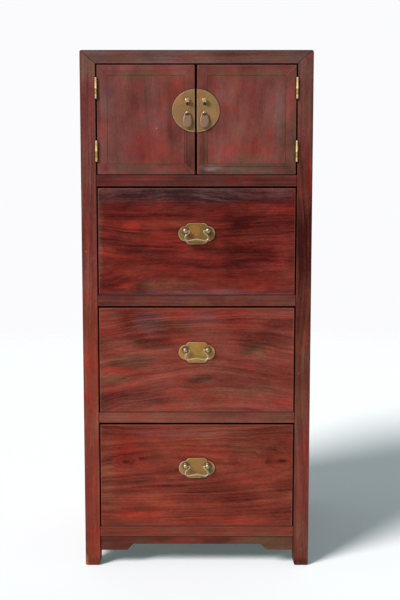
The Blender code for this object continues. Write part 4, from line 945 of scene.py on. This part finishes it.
class DRESSER_OT_case(bpy.types.Operator):
    """Finish the posts, the top, the rails, the aprons and the side panels"""
    bl_idname = "dresser.case"
    bl_label = "Case"

    def execute(self, context):
        post = {"grain": "zx", "tone": "post_tone", "fine": 130.0}
        front_post = {**post, "figure": 0.5, "contrast": 0.66, "wear": 0.15, "patchy": 1.3}
        rear_post = {**post, "lean": (0.01, 0.0), "figure": 0.6, "red": 0.4, "olive": 0.3}
        top_rail = {"tone": "top_tone", "heart": (0.09, 0.05), "lean": (0.006, 0.0)}
        hidden_top = {**top_rail, "figure": 0.6, "red": 0.2, "olive": 0.3, "bloom": 0.35}
        side_panel = {"grain": "zy", "tone": "post_tone", "olive": 0.28, "bloom": 0.06, "contrast": 0.55,
                      "patchy": 0.9, "tint": (0.95, 1.05, 1.1)}
        low_rail = {"grain": "yz", "tone": "rail_tone", "heart": (0.07, 0.05), "lean": (0.01, 0.0),
                    "figure": 0.6}
        boards = {
            "post_front_left": Board(**front_post, heart=(0.09, 0.05), lean=(0.012, 0.0), red=0.34, olive=0.24,
                                     bloom=0.08, gaps=(("x", -OPENING),), halos=hinge_rims("left")),
            "post_front_right": Board(**front_post, heart=(-0.08, 0.05), lean=(-0.012, 0.0), red=0.24,
                                      olive=0.22, tint=(0.76, 0.86, 0.98), gaps=(("x", OPENING),),
                                      halos=hinge_rims("right")),
            "post_rear_left": Board(**rear_post, heart=(0.1, 0.07)),
            "post_rear_right": Board(**rear_post, heart=(-0.1, 0.07)),
            "top_rail_front": Board("xz", **top_rail, figure=0.5, red=0.20, olive=0.25, bloom=0.2,
                                    contrast=0.55, fine=140.0, wear=0.2, tint=(0.98, 1.1, 1.18),
                                    gaps=gap_planes(*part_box("top_rail_front"), "z")[:1]),
            "top_rail_rear": Board("xz", **hidden_top),
            "top_rail_left": Board("yx", **hidden_top),
            "top_rail_right": Board("yx", **hidden_top),
            "top_panel": Board("xy", "top_tone", heart=(0.02, 0.05), lean=(0.05, 0.03), olive=0.3, bloom=0.3),
        }
        # Heart, lean across, red, olive, bloom, tint, and how many of the lower and upper face have no gap
        rails = {
            "rail_below_doors": ((0.07, 0.05), 0.010, 0.22, 0.15, 0.08, (0.60, 0.66, 0.88), 0),
            "rail_below_drawer_1": ((0.08, 0.05), -0.010, 0.30, 0.30, 0.15, (0.82, 0.86, 0.88), 0),
            "rail_below_drawer_2": ((0.07, 0.04), 0.008, 0.30, 0.35, 0.30, (1.10, 1.48, 1.42), 0),
            "rail_bottom": ((0.09, 0.05), 0.006, 0.25, 0.25, 0.05, (1.10, 1.10, 0.92), 1),
            "apron": ((0.07, 0.05), 0.010, 0.30, 0.35, 0.05, (0.54, 0.65, 0.60), 2),
        }
        for node, (heart, lean, red, olive, bloom, tint, closed) in rails.items():
            boards[node] = Board("xz", "rail_tone", heart=heart, lean=(lean, 0.0), figure=0.5, red=red,
                                 olive=olive, bloom=bloom, fine=140.0, wear=0.3, tint=tint,
                                 gaps=gap_planes(*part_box(node), "z")[closed:])
        boards.update({
            "side_panel_left": Board(**side_panel, heart=(0.05, 0.05), lean=(0.05, 0.02)),
            "side_panel_right": Board(**side_panel, heart=(-0.06, 0.05), lean=(-0.04, 0.02)),
            "side_rail_bottom_left": Board(**low_rail),
            "side_rail_bottom_right": Board(**low_rail),
        })
        for seed, (node, board) in enumerate(boards.items()):
            board.stains = STAINS.get(node, {})
            lacquer(node, board, context.scene.dresser_wood, seed + 1.0)
        return {"FINISHED"}


def mitre_line(corner, inwards, start, end, strength):
    """A scratch along a mitre, between two distances from the corner x, z."""
    (x, z), (in_x, in_z) = corner, inwards
    return x + in_x * start, z + in_z * start, x + in_x * end, z + in_z * end, strength


class DRESSER_OT_doors(bpy.types.Operator):
    """Finish the frames and panels of both doors"""
    bl_idname = "dresser.doors"
    bl_label = "Doors"

    def execute(self, context):
        centre, half_width, half_height, _ = round_plate_sizes()
        disc_rim = (centre[0], centre[1], half_width, half_height, half_height, 0.28)
        lower_tints = {"left": (0.80, 0.90, 0.93), "right": (0.52, 1.00, 1.05)}
        for side, name in SIDES:
            door = "door_" + name + "_"
            stiles = [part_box(door + part) for part in ("hinge_stile", "meeting_stile")]
            low, high = np.min(stiles, (0, 1)), np.max(stiles, (0, 1))
            left, right, bottom, top = low[0], high[0], low[2], high[2]
            face_low, face_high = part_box(door + "panel")
            seam = (face_high.x, face_low.z)
            marks = {"left": ((*seam, face_high.x, face_low.z + 0.09, -0.5),
                              mitre_line((right, bottom), (-1, 1), 0.003, 0.024, 0.35),
                              mitre_line((left, bottom), (1, 1), 0.003, 0.018, 0.25)),
                     "right": ((face_low.x, face_low.z, *seam, -0.5),
                               mitre_line((right, top), (-1, -1), 0.002, 0.024, 0.55),
                               mitre_line((left, top), (1, -1), 0.003, 0.016, 0.25))}[name]
            shared = {"tone": "door_tone", "field": "zx", "red": 0.46, "olive": 0.26, "bloom": 0.16,
                      "hot": "crimson", "patchy": 1.1, "round_patches": 1.5, "wear": 0.45,
                      "stains": STAINS["door_" + name], "scratches": marks, "gaps": gap_planes(low, high),
                      "halos": (disc_rim, *hinge_rims(name))}
            framing = {**shared, "heart": (0.09, 0.05), "lean": (0.01, 0.0), "figure": 0.5, "contrast": 0.28,
                       "fine": 120.0}
            boards = {"panel": Board("zx", **shared, heart=(side * -0.10, 0.035), lean=(side * 0.10, 0.10),
                                     figure=0.9, contrast=0.22),
                      "top_rail": Board("xz", **framing),
                      "bottom_rail": Board("xz", **framing, tint=lower_tints[name]),
                      "hinge_stile": Board("zx", **framing),
                      "meeting_stile": Board("zx", **framing)}
            for number, (part, board) in enumerate(boards.items()):
                lacquer(door + part, board, context.scene.dresser_wood, 31.0 + side * 7 + number, (low, high))
        return {"FINISHED"}


class DRESSER_OT_drawers(bpy.types.Operator):
    """Finish the three drawer fronts"""
    bl_idname = "dresser.drawers"
    bl_label = "Drawer fronts"

    def execute(self, context):
        sizes = context.scene.dresser_fittings
        core, lobe, corner, strength = sizes.pull_core / 2, sizes.lobe_radius, sizes.pull_corner, 0.6
        fronts = {
            1: Board("xz", "first_tone", heart=(-0.11, 0.070), lean=(0.03, 0.02), figure=1.2, red=0.35,
                     olive=0.10, bloom=0.06, contrast=1.05),
            2: Board("xz", "second_tone", heart=(-0.18, 0.015), lean=(0.07, 0.34), red=0.28, olive=0.22,
                     bloom=0.06, contrast=0.82),
            3: Board("xz", "third_tone", heart=(0.02, 0.05), lean=(0.03, 0.06), red=0.24, olive=0.14,
                     bloom=0.03, contrast=0.90, knots=((-0.178, 0.035, 0.008), (0.214, 0.038, 0.009))),
        }
        for number, board in fronts.items():
            node = "drawer_front_" + str(number)
            low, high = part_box("pull_plate_" + str(number))
            middle = (low.z + high.z) / 2
            board.halos = ((0.0, middle, core, high.z - middle, corner, strength),
                           (low.x + lobe, middle, lobe, lobe, lobe, strength),
                           (high.x - lobe, middle, lobe, lobe, lobe, strength))
            board.gaps, board.stains = gap_planes(*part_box(node)), STAINS[node]
            board.wear, board.patchy = 0.8, 1.35
            lacquer(node, board, context.scene.dresser_wood, 50.0 + number * 3)
        return {"FINISHED"}


class DRESSER_OT_inside(bpy.types.Operator):
    """Finish the bare wood inside and at the back"""
    bl_idname = "dresser.inside"
    bl_label = "Inside and back"

    def execute(self, context):
        wood = context.scene.dresser_wood
        widths = {"back_panel": wood.board_width}
        grains = {"back_panel": "zx", "cupboard_floor": "xy"}
        for number in NUMBERS:
            grains.update({"runner_frame_" + str(number): "yx", "drawer_box_" + str(number): "yz",
                           "drawer_bottom_" + str(number): "xy"})
        for seed, (node, grain) in enumerate(grains.items()):
            coat(node, bare_elm("bare " + spoken(node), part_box(node), grain, wood, seed + 2.0,
                                widths.get(node, 1.0)))
        return {"FINISHED"}


def round_plate_sizes():
    """Middle x, z of the round plate, half its width and height, and half the gap between its halves."""
    (low, left_high), (right_low, high) = (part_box("door_plate_" + name) for _, name in SIDES)
    centre = ((left_high.x + right_low.x) / 2, (low.z + high.z) / 2)
    return centre, (high.x - low.x) / 2, (high.z - low.z) / 2, (right_low.x - left_high.x) / 2


def eye_shells(x, z, hole, wall, width, depth, face):
    """A strap eye: a ring of oval section round its hole, on a flattened stud that comes out of the plate.

    The ring's middle lies at that depth. The stud is a little smaller than the ring, and widens towards the
    plate by the fourth power of the way to it.
    """
    sunk, squareness, across = 0.0006, 2.6, (1, 0, 0)
    circle = arc((depth, z), hole + wall / 2, 0, 360, 40)[:-1]
    ring = rod(set_axes(x, *circle.T, "xyz"), (wall / 2, width / 2), across, 18, squareness, hoop=True)
    reach = np.linspace(0, 1, 7)
    stud = set_axes(x, face + sunk + reach * (depth + hole - face - 2 * sunk), z, "xyz")
    flare = 1 + 0.35 * (1 - reach) ** 4
    sizes = np.stack(((hole + wall * 0.5) * 0.95 * flare, width * 0.44 * flare), -1)
    return [ring, rod(stud, sizes, across, 22, squareness)]


class DRESSER_OT_round_plate(bpy.types.Operator):
    """Make the two halves of the round plate, with their lock eyes and drop eyes"""
    bl_idname = "dresser.round_plate"
    bl_label = "Round plate"

    def execute(self, context):
        sizes, brass = context.scene.dresser_fittings, context.scene.dresser_brass
        (meeting, middle), half_width, half_height, half_gap = round_plate_sizes()
        lock_z = middle + sizes.lock_rise
        # Painted shade: a dark spot under each lock eye and each drop eye, where the holes lie in shade
        eye_shades = []
        for _, name in SIDES:
            x, _, z = pivot_of("drop_" + name + "_swing")
            eye_shades += [(x, lock_z - 0.0078, 0.0036, brass.hollow, 0.92),
                        (x, z - 0.0040, 0.0052, brass.hollow, 0.85)]
        # Green and orange patina, and between them a paler patch on the right half that is painted light
        patches = [(meeting + 0.030, middle + 0.022, 0.022, brass.green, 0.45),
                   (meeting + 0.036, middle - 0.006, 0.016, brass.disc, 0.8),
                   (meeting - 0.043, middle + 0.026, 0.012, brass.orange, 0.40)]
        material = metal("old brass of the round plate", brass.disc, brass.tarnish, roughness=0.46, cover=0.28,
                         metallic=0.5, rim=brass.rim, spots=patches + eye_shades,
                         patina=(brass.orange, brass.green))
        pale = metal("pale metal of the eyes", brass.pale, brass.tarnish, roughness=0.34, cover=0.20,
                     metallic=0.7, spots=eye_shades)
        edge = math.degrees(math.acos(half_gap / half_width))
        bow = arc((0, 0), half_width, -edge, edge, 90) * (1, half_height / half_width)
        straight = np.stack((np.full(31, half_gap), np.linspace(bow[-1, 1], bow[0, 1], 33)[1:-1]), -1)
        for side, name in SIDES:
            node = "door_plate_" + name
            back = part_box(node)[1].y
            face = back - sizes.plate_thickness
            outline = np.vstack((bow, straight)) * (side, 1) + (meeting, middle)
            half = plate(outline, back, face, sizes.plate_rim, sizes.plate_crown, rings=14, dents=0.00006,
                         band=0.0022)
            add_piece("brass_" + node, [half], material, "door_" + name, "old_brass", node)
            drop = pivot_of("drop_" + name + "_swing")
            eyes = eye_shells(drop[0], lock_z, hole=0.0032, wall=0.0024, width=sizes.lock_width,
                              depth=face - 0.0056, face=face)
            eyes += eye_shells(drop[0], drop[2], hole=0.0020, wall=0.0027, width=0.0072, depth=drop[1],
                               face=face)
            add_piece("eyes_" + name, eyes, pale, "door_" + name, "old_brass")
        return {"FINISHED"}


def leaf_shell(centre, outline, eye, eye_size):
    """A thin leaf with an oval hole: rings run from the hole to the outline, dense at both.

    Near either edge its thickness follows a quarter circle, and its front swells by the square of the distance
    from the edge, up to a limit.
    """
    rim, half_thick, thinnest, belly_depth, belly_reach = 0.0008, 0.001, 0.00012, 0.0005, 0.004
    toward = outline - eye
    bearing = np.arctan2(toward[:, 1], toward[:, 0])
    hole = eye + np.stack((np.cos(bearing), np.sin(bearing)), -1) * eye_size
    v = (1 - np.cos(np.linspace(0.02, 0.98, 18) * np.pi)) / 2
    flat = hole[None] + (outline - hole)[None] * v[:, None, None]
    near = np.minimum(v, 1 - v)[:, None] * np.linalg.norm(outline - hole, axis=1)[None]
    thick = np.maximum(half_thick * np.sqrt(1 - (1 - np.minimum(near / rim, 1)) ** 2), thinnest)
    belly = belly_depth * np.clip(near / belly_reach, 0, 1) ** 2
    front, rear = (set_axes(centre[0] + flat[..., 0], flat[..., 1], centre[1] + depth, "xzy")
                   for depth in (-thick - belly, thick))
    return shell(np.concatenate((front, rear[::-1])), hoop=True)


class DRESSER_OT_drops(bpy.types.Operator):
    """Make the leaf-shaped drops"""
    bl_idname = "dresser.drops"
    bl_label = "Drops"

    def execute(self, context):
        sizes, brass = context.scene.dresser_fittings, context.scene.dresser_brass
        pivots = {name: pivot_of("drop_" + name + "_swing") for _, name in SIDES}
        tops = [(x, z + 0.0012, 0.0042, brass.pale, 0.6) for x, _, z in pivots.values()]
        material = metal("coppery drop", brass.copper, brass.tarnish, roughness=0.46, cover=0.30, metallic=0.5,
                         spots=tops)
        # Half widths of the leaf at places down its length, as shares of the whole
        along = np.array((0.00, 0.04, 0.18, 0.36, 0.52, 0.66, 0.78, 0.88, 0.96, 1.00)) * sizes.drop_length
        wide = np.array((0.44, 0.60, 0.74, 0.91, 1.00, 1.00, 0.94, 0.80, 0.52, 0.12)) * sizes.drop_width / 2
        top, fall = 0.0011, 0.0034      # from the pivot up to the leaf's top and down to its eye's middle
        for name, pivot in pivots.items():
            right = np.stack((wide, pivot[2] + top - along), -1)
            outline = smooth_curve(np.vstack((right, (right * (-1, 1))[::-1])), 6, closed=True)
            leaf = leaf_shell(pivot, outline, np.array((0.0, pivot[2] - fall)), eye_size=(0.0040, 0.0022))
            add_piece("leaf_drop_" + name, [leaf], material, "drop_" + name, "old_brass", "drop_" + name)
        return {"FINISHED"}


def flap(y0, y1, z0, z1, back, face):
    """A flat part of a hinge's leaf, with softened edges."""
    return plate(np.array(((y0, z0), (y1, z0), (y1, z1), (y0, z1))), back, face, 0.0002, order="yzx", rings=2)


def knuckle(axis, radius, bottom, top):
    """A hinge's knuckle: a cylinder whose two end edges are rounded."""
    soft, turns = 0.00035, np.linspace(0.3, math.pi / 2, 4)
    rounded = [(soft * (1 - math.cos(t)), radius - soft * (1 - math.sin(t))) for t in turns]
    profile = [(bottom, radius - soft)] + [(bottom + rise, wide) for rise, wide in rounded]
    profile += [(top - rise, wide) for rise, wide in rounded[::-1]] + [(top, radius - soft)]
    return turned(profile, axis, "z", 36)


def pin_end(axis, end, way):
    """The dome at one end of a hinge's pin."""
    radius, rise, sunk = 0.0012, 0.0009, 0.003
    dome = [(end - way * rise + way * rise * math.sin(t), radius * math.cos(t) + 0.00002)
            for t in np.linspace(0, math.pi / 2, 6)]
    return turned([(end - way * sunk, radius)] + dome, axis, "z", 20)


class DRESSER_OT_hinges(bpy.types.Operator):
    """Make the butt hinges: knuckles, leaves and slotted screws"""
    bl_idname = "dresser.hinges"
    bl_label = "Hinges"

    def execute(self, context):
        sizes, brass = context.scene.dresser_fittings, context.scene.dresser_brass
        spots = []
        for _, name in SIDES:
            for x, z, *_ in hinge_rims(name):
                spots += [(x, z + 0.0035, 0.0075, brass.peach, 0.85), (x, z + 0.0225, 0.0060, brass.pale, 0.7),
                          (x, z - 0.0085, 0.0085, brass.green, 0.75), (x, z - 0.0225, 0.0040, brass.pale, 0.7)]
        material = metal("bright hinge brass", brass.bright, brass.old, roughness=0.34, cover=0.16,
                         metallic=0.6, spots=spots)
        leaves = {"frame": (0.0002, (0, 2, 4)), "door": (-0.0012, (1, 3))}      # inner face's place, knuckles
        count, gap, thick, edge, lap, stagger = 5, 0.0003, 0.001, 0.0002, 0.001, 0.002
        for (side, name), level, (leaf, (inner, own)) in product(SIDES, LEVELS, leaves.items()):
            node = "_".join(("hinge", level, name, leaf, "leaf"))
            axis = pivot_of("door_" + name + "_swing")
            low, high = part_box(node)
            bottom, top = low.z, low.z + sizes.hinge_length
            rear, front = high.y, FRONT - edge
            near = axis[0] + side * inner
            faces = (near + side * thick, near) if leaf == "frame" else (near, near + side * thick)
            shells = [flap(front, rear, bottom + edge, top - edge, *faces)]
            for number in own:
                z0 = bottom + number * sizes.hinge_length / count + (gap / 2 if number else 0)
                z1 = bottom + (number + 1) * sizes.hinge_length / count - (gap / 2 if number < count - 1 else 0)
                shells += [knuckle(axis[:2], sizes.barrel_radius, z0, z1),
                           flap(axis[1], front + lap, z0, z1, *faces)]
            if leaf == "door":
                shells += [pin_end(axis[:2], bottom, -1), pin_end(axis[:2], top, 1)]
            for share_up, way, turn in ((0.17, -1, 0.4), (0.5, 1, 1.9), (0.83, -1, 2.7)):
                place = (faces[1], (front + rear) / 2 + way * stagger, bottom + share_up * sizes.hinge_length)
                shells.append(screw_head(place, sizes.screw_radius, proud=0.0001,
                                         toward=np.sign(faces[1] - faces[0]), turn=turn))
            add_piece("brass_" + node, shells, material, "case" if leaf == "frame" else "door_" + name,
                      "bright_brass", node)
        return {"FINISHED"}


class DRESSER_OT_pulls(bpy.types.Operator):
    """Make the lobed plates of the pulls and their knobs"""
    bl_idname = "dresser.pulls"
    bl_label = "Pull plates and knobs"

    def execute(self, context):
        sizes, brass = context.scene.dresser_fittings, context.scene.dresser_brass
        pale = metal("smoked metal of the knobs", brass.knob, brass.hollow, roughness=0.36, cover=0.42)
        knob_places = (-sizes.knob_spread / 2, sizes.knob_spread / 2)
        stem, radius = sizes.knob_stem, sizes.knob_radius
        worn = {1: (0.76, 0.77, 0.60), 2: (1.27, 1.22, 1.13), 3: (0.90, 0.83, 0.84)}
        patches = {1: [(-0.006, 0.006, 0.016, brass.orange, 0.45)], 2: [],
                   3: [(0.034, -0.009, 0.006, brass.verdigris, 0.9),
                       (0.015, -0.0215, 0.006, brass.verdigris, 1.0)]}
        for number in NUMBERS:
            node, body = "pull_plate_" + str(number), "drawer_" + str(number)
            low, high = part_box(node)
            pivot = pivot_of("bail_" + str(number) + "_swing")
            middle = (low.z + high.z) / 2
            # Painted shade: a dark ring on the plate round each knob
            spots = [(x + 0.0006, pivot[2] - 0.0008, 0.0106, brass.hollow, 0.62) for x in knob_places]
            spots += [(x, middle + up, *rest) for x, up, *rest in patches[number]]
            material = metal("old brass of pull " + str(number), np.array(brass.old) * worn[number],
                             brass.tarnish, roughness=0.46, cover=0.28, metallic=0.5, rim=brass.rim,
                             spots=spots, patina=(brass.orange, brass.green))
            face = high.y - sizes.plate_thickness
            outline = lobed_outline(sizes.pull_core, high.z - low.z, sizes.pull_corner, sizes.lobe_radius,
                                    half_width=high.x)
            front = plate(outline + (0, middle), high.y, face, sizes.plate_rim, sizes.plate_crown, rings=14,
                          dents=0.00007, band=0.0020)
            add_piece("brass_" + node, [front], material, body, "old_brass", node)
            profile = [(face + 0.0005, stem + 0.0016), (face - 0.0004, stem + 0.0016),
                       (face - 0.0009, stem + 0.0011), (face - 0.0010, stem)]
            profile += [(pivot[1] + radius * math.cos(t), radius * math.sin(t))
                        for t in np.linspace(math.asin(stem / radius), math.pi - 0.03, 22)]
            knobs = [turned(profile, (x, pivot[2]), "y", 44) for x in knob_places]
            add_piece("knobs_" + str(number), knobs, pale, body, "old_brass")
        return {"FINISHED"}


def bail_route(sizes):
    """The bail's middle line, x and z from the knobs' middle, in 180 even steps.

    It leaves one knob, turns down, widens to the corner and rises a little to the grip's middle. The other half
    mirrors it.
    """
    knob, clear, bend = sizes.knob_spread / 2, 0.0005, 0.0022
    inner = knob - sizes.knob_radius - clear - sizes.bail_radius - bend / 2
    outer = sizes.bail_width / 2 - sizes.bail_radius
    grip = sizes.bail_fall - sizes.bail_radius
    route = [(knob - clear, 0.0), (knob - 0.004, 0.0)]
    route += arc((inner + bend, -bend), bend, 90, 180, 3).tolist()
    route += [(inner + across * (outer - inner), -down * grip)
              for across, down in ((0.12, 0.20), (0.60, 0.37), (0.97, 0.58), (0.99, 0.84))]
    route += [(0.78 * outer, -grip), (0.42 * outer, sizes.bail_bow / 2 - grip), (0.0, sizes.bail_bow - grip)]
    right = np.array(route)
    flat = smooth_curve(np.vstack((right, (right * (-1, 1))[-2::-1])), 8)
    gone = np.concatenate(([0.0], np.cumsum(np.linalg.norm(np.diff(flat, axis=0), axis=1))))
    even = np.linspace(0, gone[-1], 180)
    return [np.interp(even, gone, part) for part in flat.T]


class DRESSER_OT_bails(bpy.types.Operator):
    """Make the swinging bails"""
    bl_idname = "dresser.bails"
    bl_label = "Bails"

    def execute(self, context):
        sizes, brass = context.scene.dresser_fittings, context.scene.dresser_brass
        material = metal("pale metal of the bails", brass.pale, brass.tarnish, roughness=0.36, cover=0.30,
                         metallic=0.6)
        x, z = bail_route(sizes)
        for number in NUMBERS:
            name = "bail_" + str(number)
            pivot = pivot_of(name + "_swing")
            path = set_axes(x, pivot[1], pivot[2] + z, "xyz")
            bail = rod(path, (sizes.bail_radius, sizes.bail_radius), (0, 1, 0), sides=22, squareness=2.3)
            add_piece("rod_" + name, [bail], material, name, "old_brass", name)
        return {"FINISHED"}


class DRESSER_PT_panel(bpy.types.Panel):
    """Lists the dresser's pieces and their sizes"""
    bl_idname = "DRESSER_PT_panel"
    bl_label = "Dresser"
    bl_space_type = "VIEW_3D"
    bl_region_type = "UI"
    bl_category = "Dresser"

    def draw(self, context):
        layout = self.layout
        for operator in OPERATORS:
            layout.operator(operator.bl_idname)
        for group in GROUPS:
            values = getattr(context.scene, group)
            box = layout.box()
            for name in values.bl_rna.properties.keys():
                if name not in ("rna_type", "name"):
                    box.prop(values, name)


OPERATORS = (DRESSER_OT_stage, DRESSER_OT_case, DRESSER_OT_doors, DRESSER_OT_drawers, DRESSER_OT_inside,
             DRESSER_OT_round_plate, DRESSER_OT_drops, DRESSER_OT_hinges, DRESSER_OT_pulls, DRESSER_OT_bails)
GROUPS = {"dresser_wood": DresserWood, "dresser_brass": DresserBrass, "dresser_fittings": DresserFittings,
          "dresser_stage": DresserStage}


def register():
    """Add the property groups, operators and panel."""
    for group in (*GROUPS.values(), *OPERATORS, DRESSER_PT_panel):
        bpy.utils.register_class(group)
    for name, group in GROUPS.items():
        setattr(bpy.types.Scene, name, PointerProperty(type=group))


def unregister():
    """Take the property groups, operators and panel away."""
    for name in GROUPS:
        delattr(bpy.types.Scene, name)
    for group in (DRESSER_PT_panel, *OPERATORS[::-1], *GROUPS.values()):
        bpy.utils.unregister_class(group)


def main():
    """Make the whole dresser."""
    register()
    for operator in OPERATORS:
        _, name = operator.bl_idname.split(".")
        getattr(bpy.ops.dresser, name)()


if __name__ == "__main__":
    main()
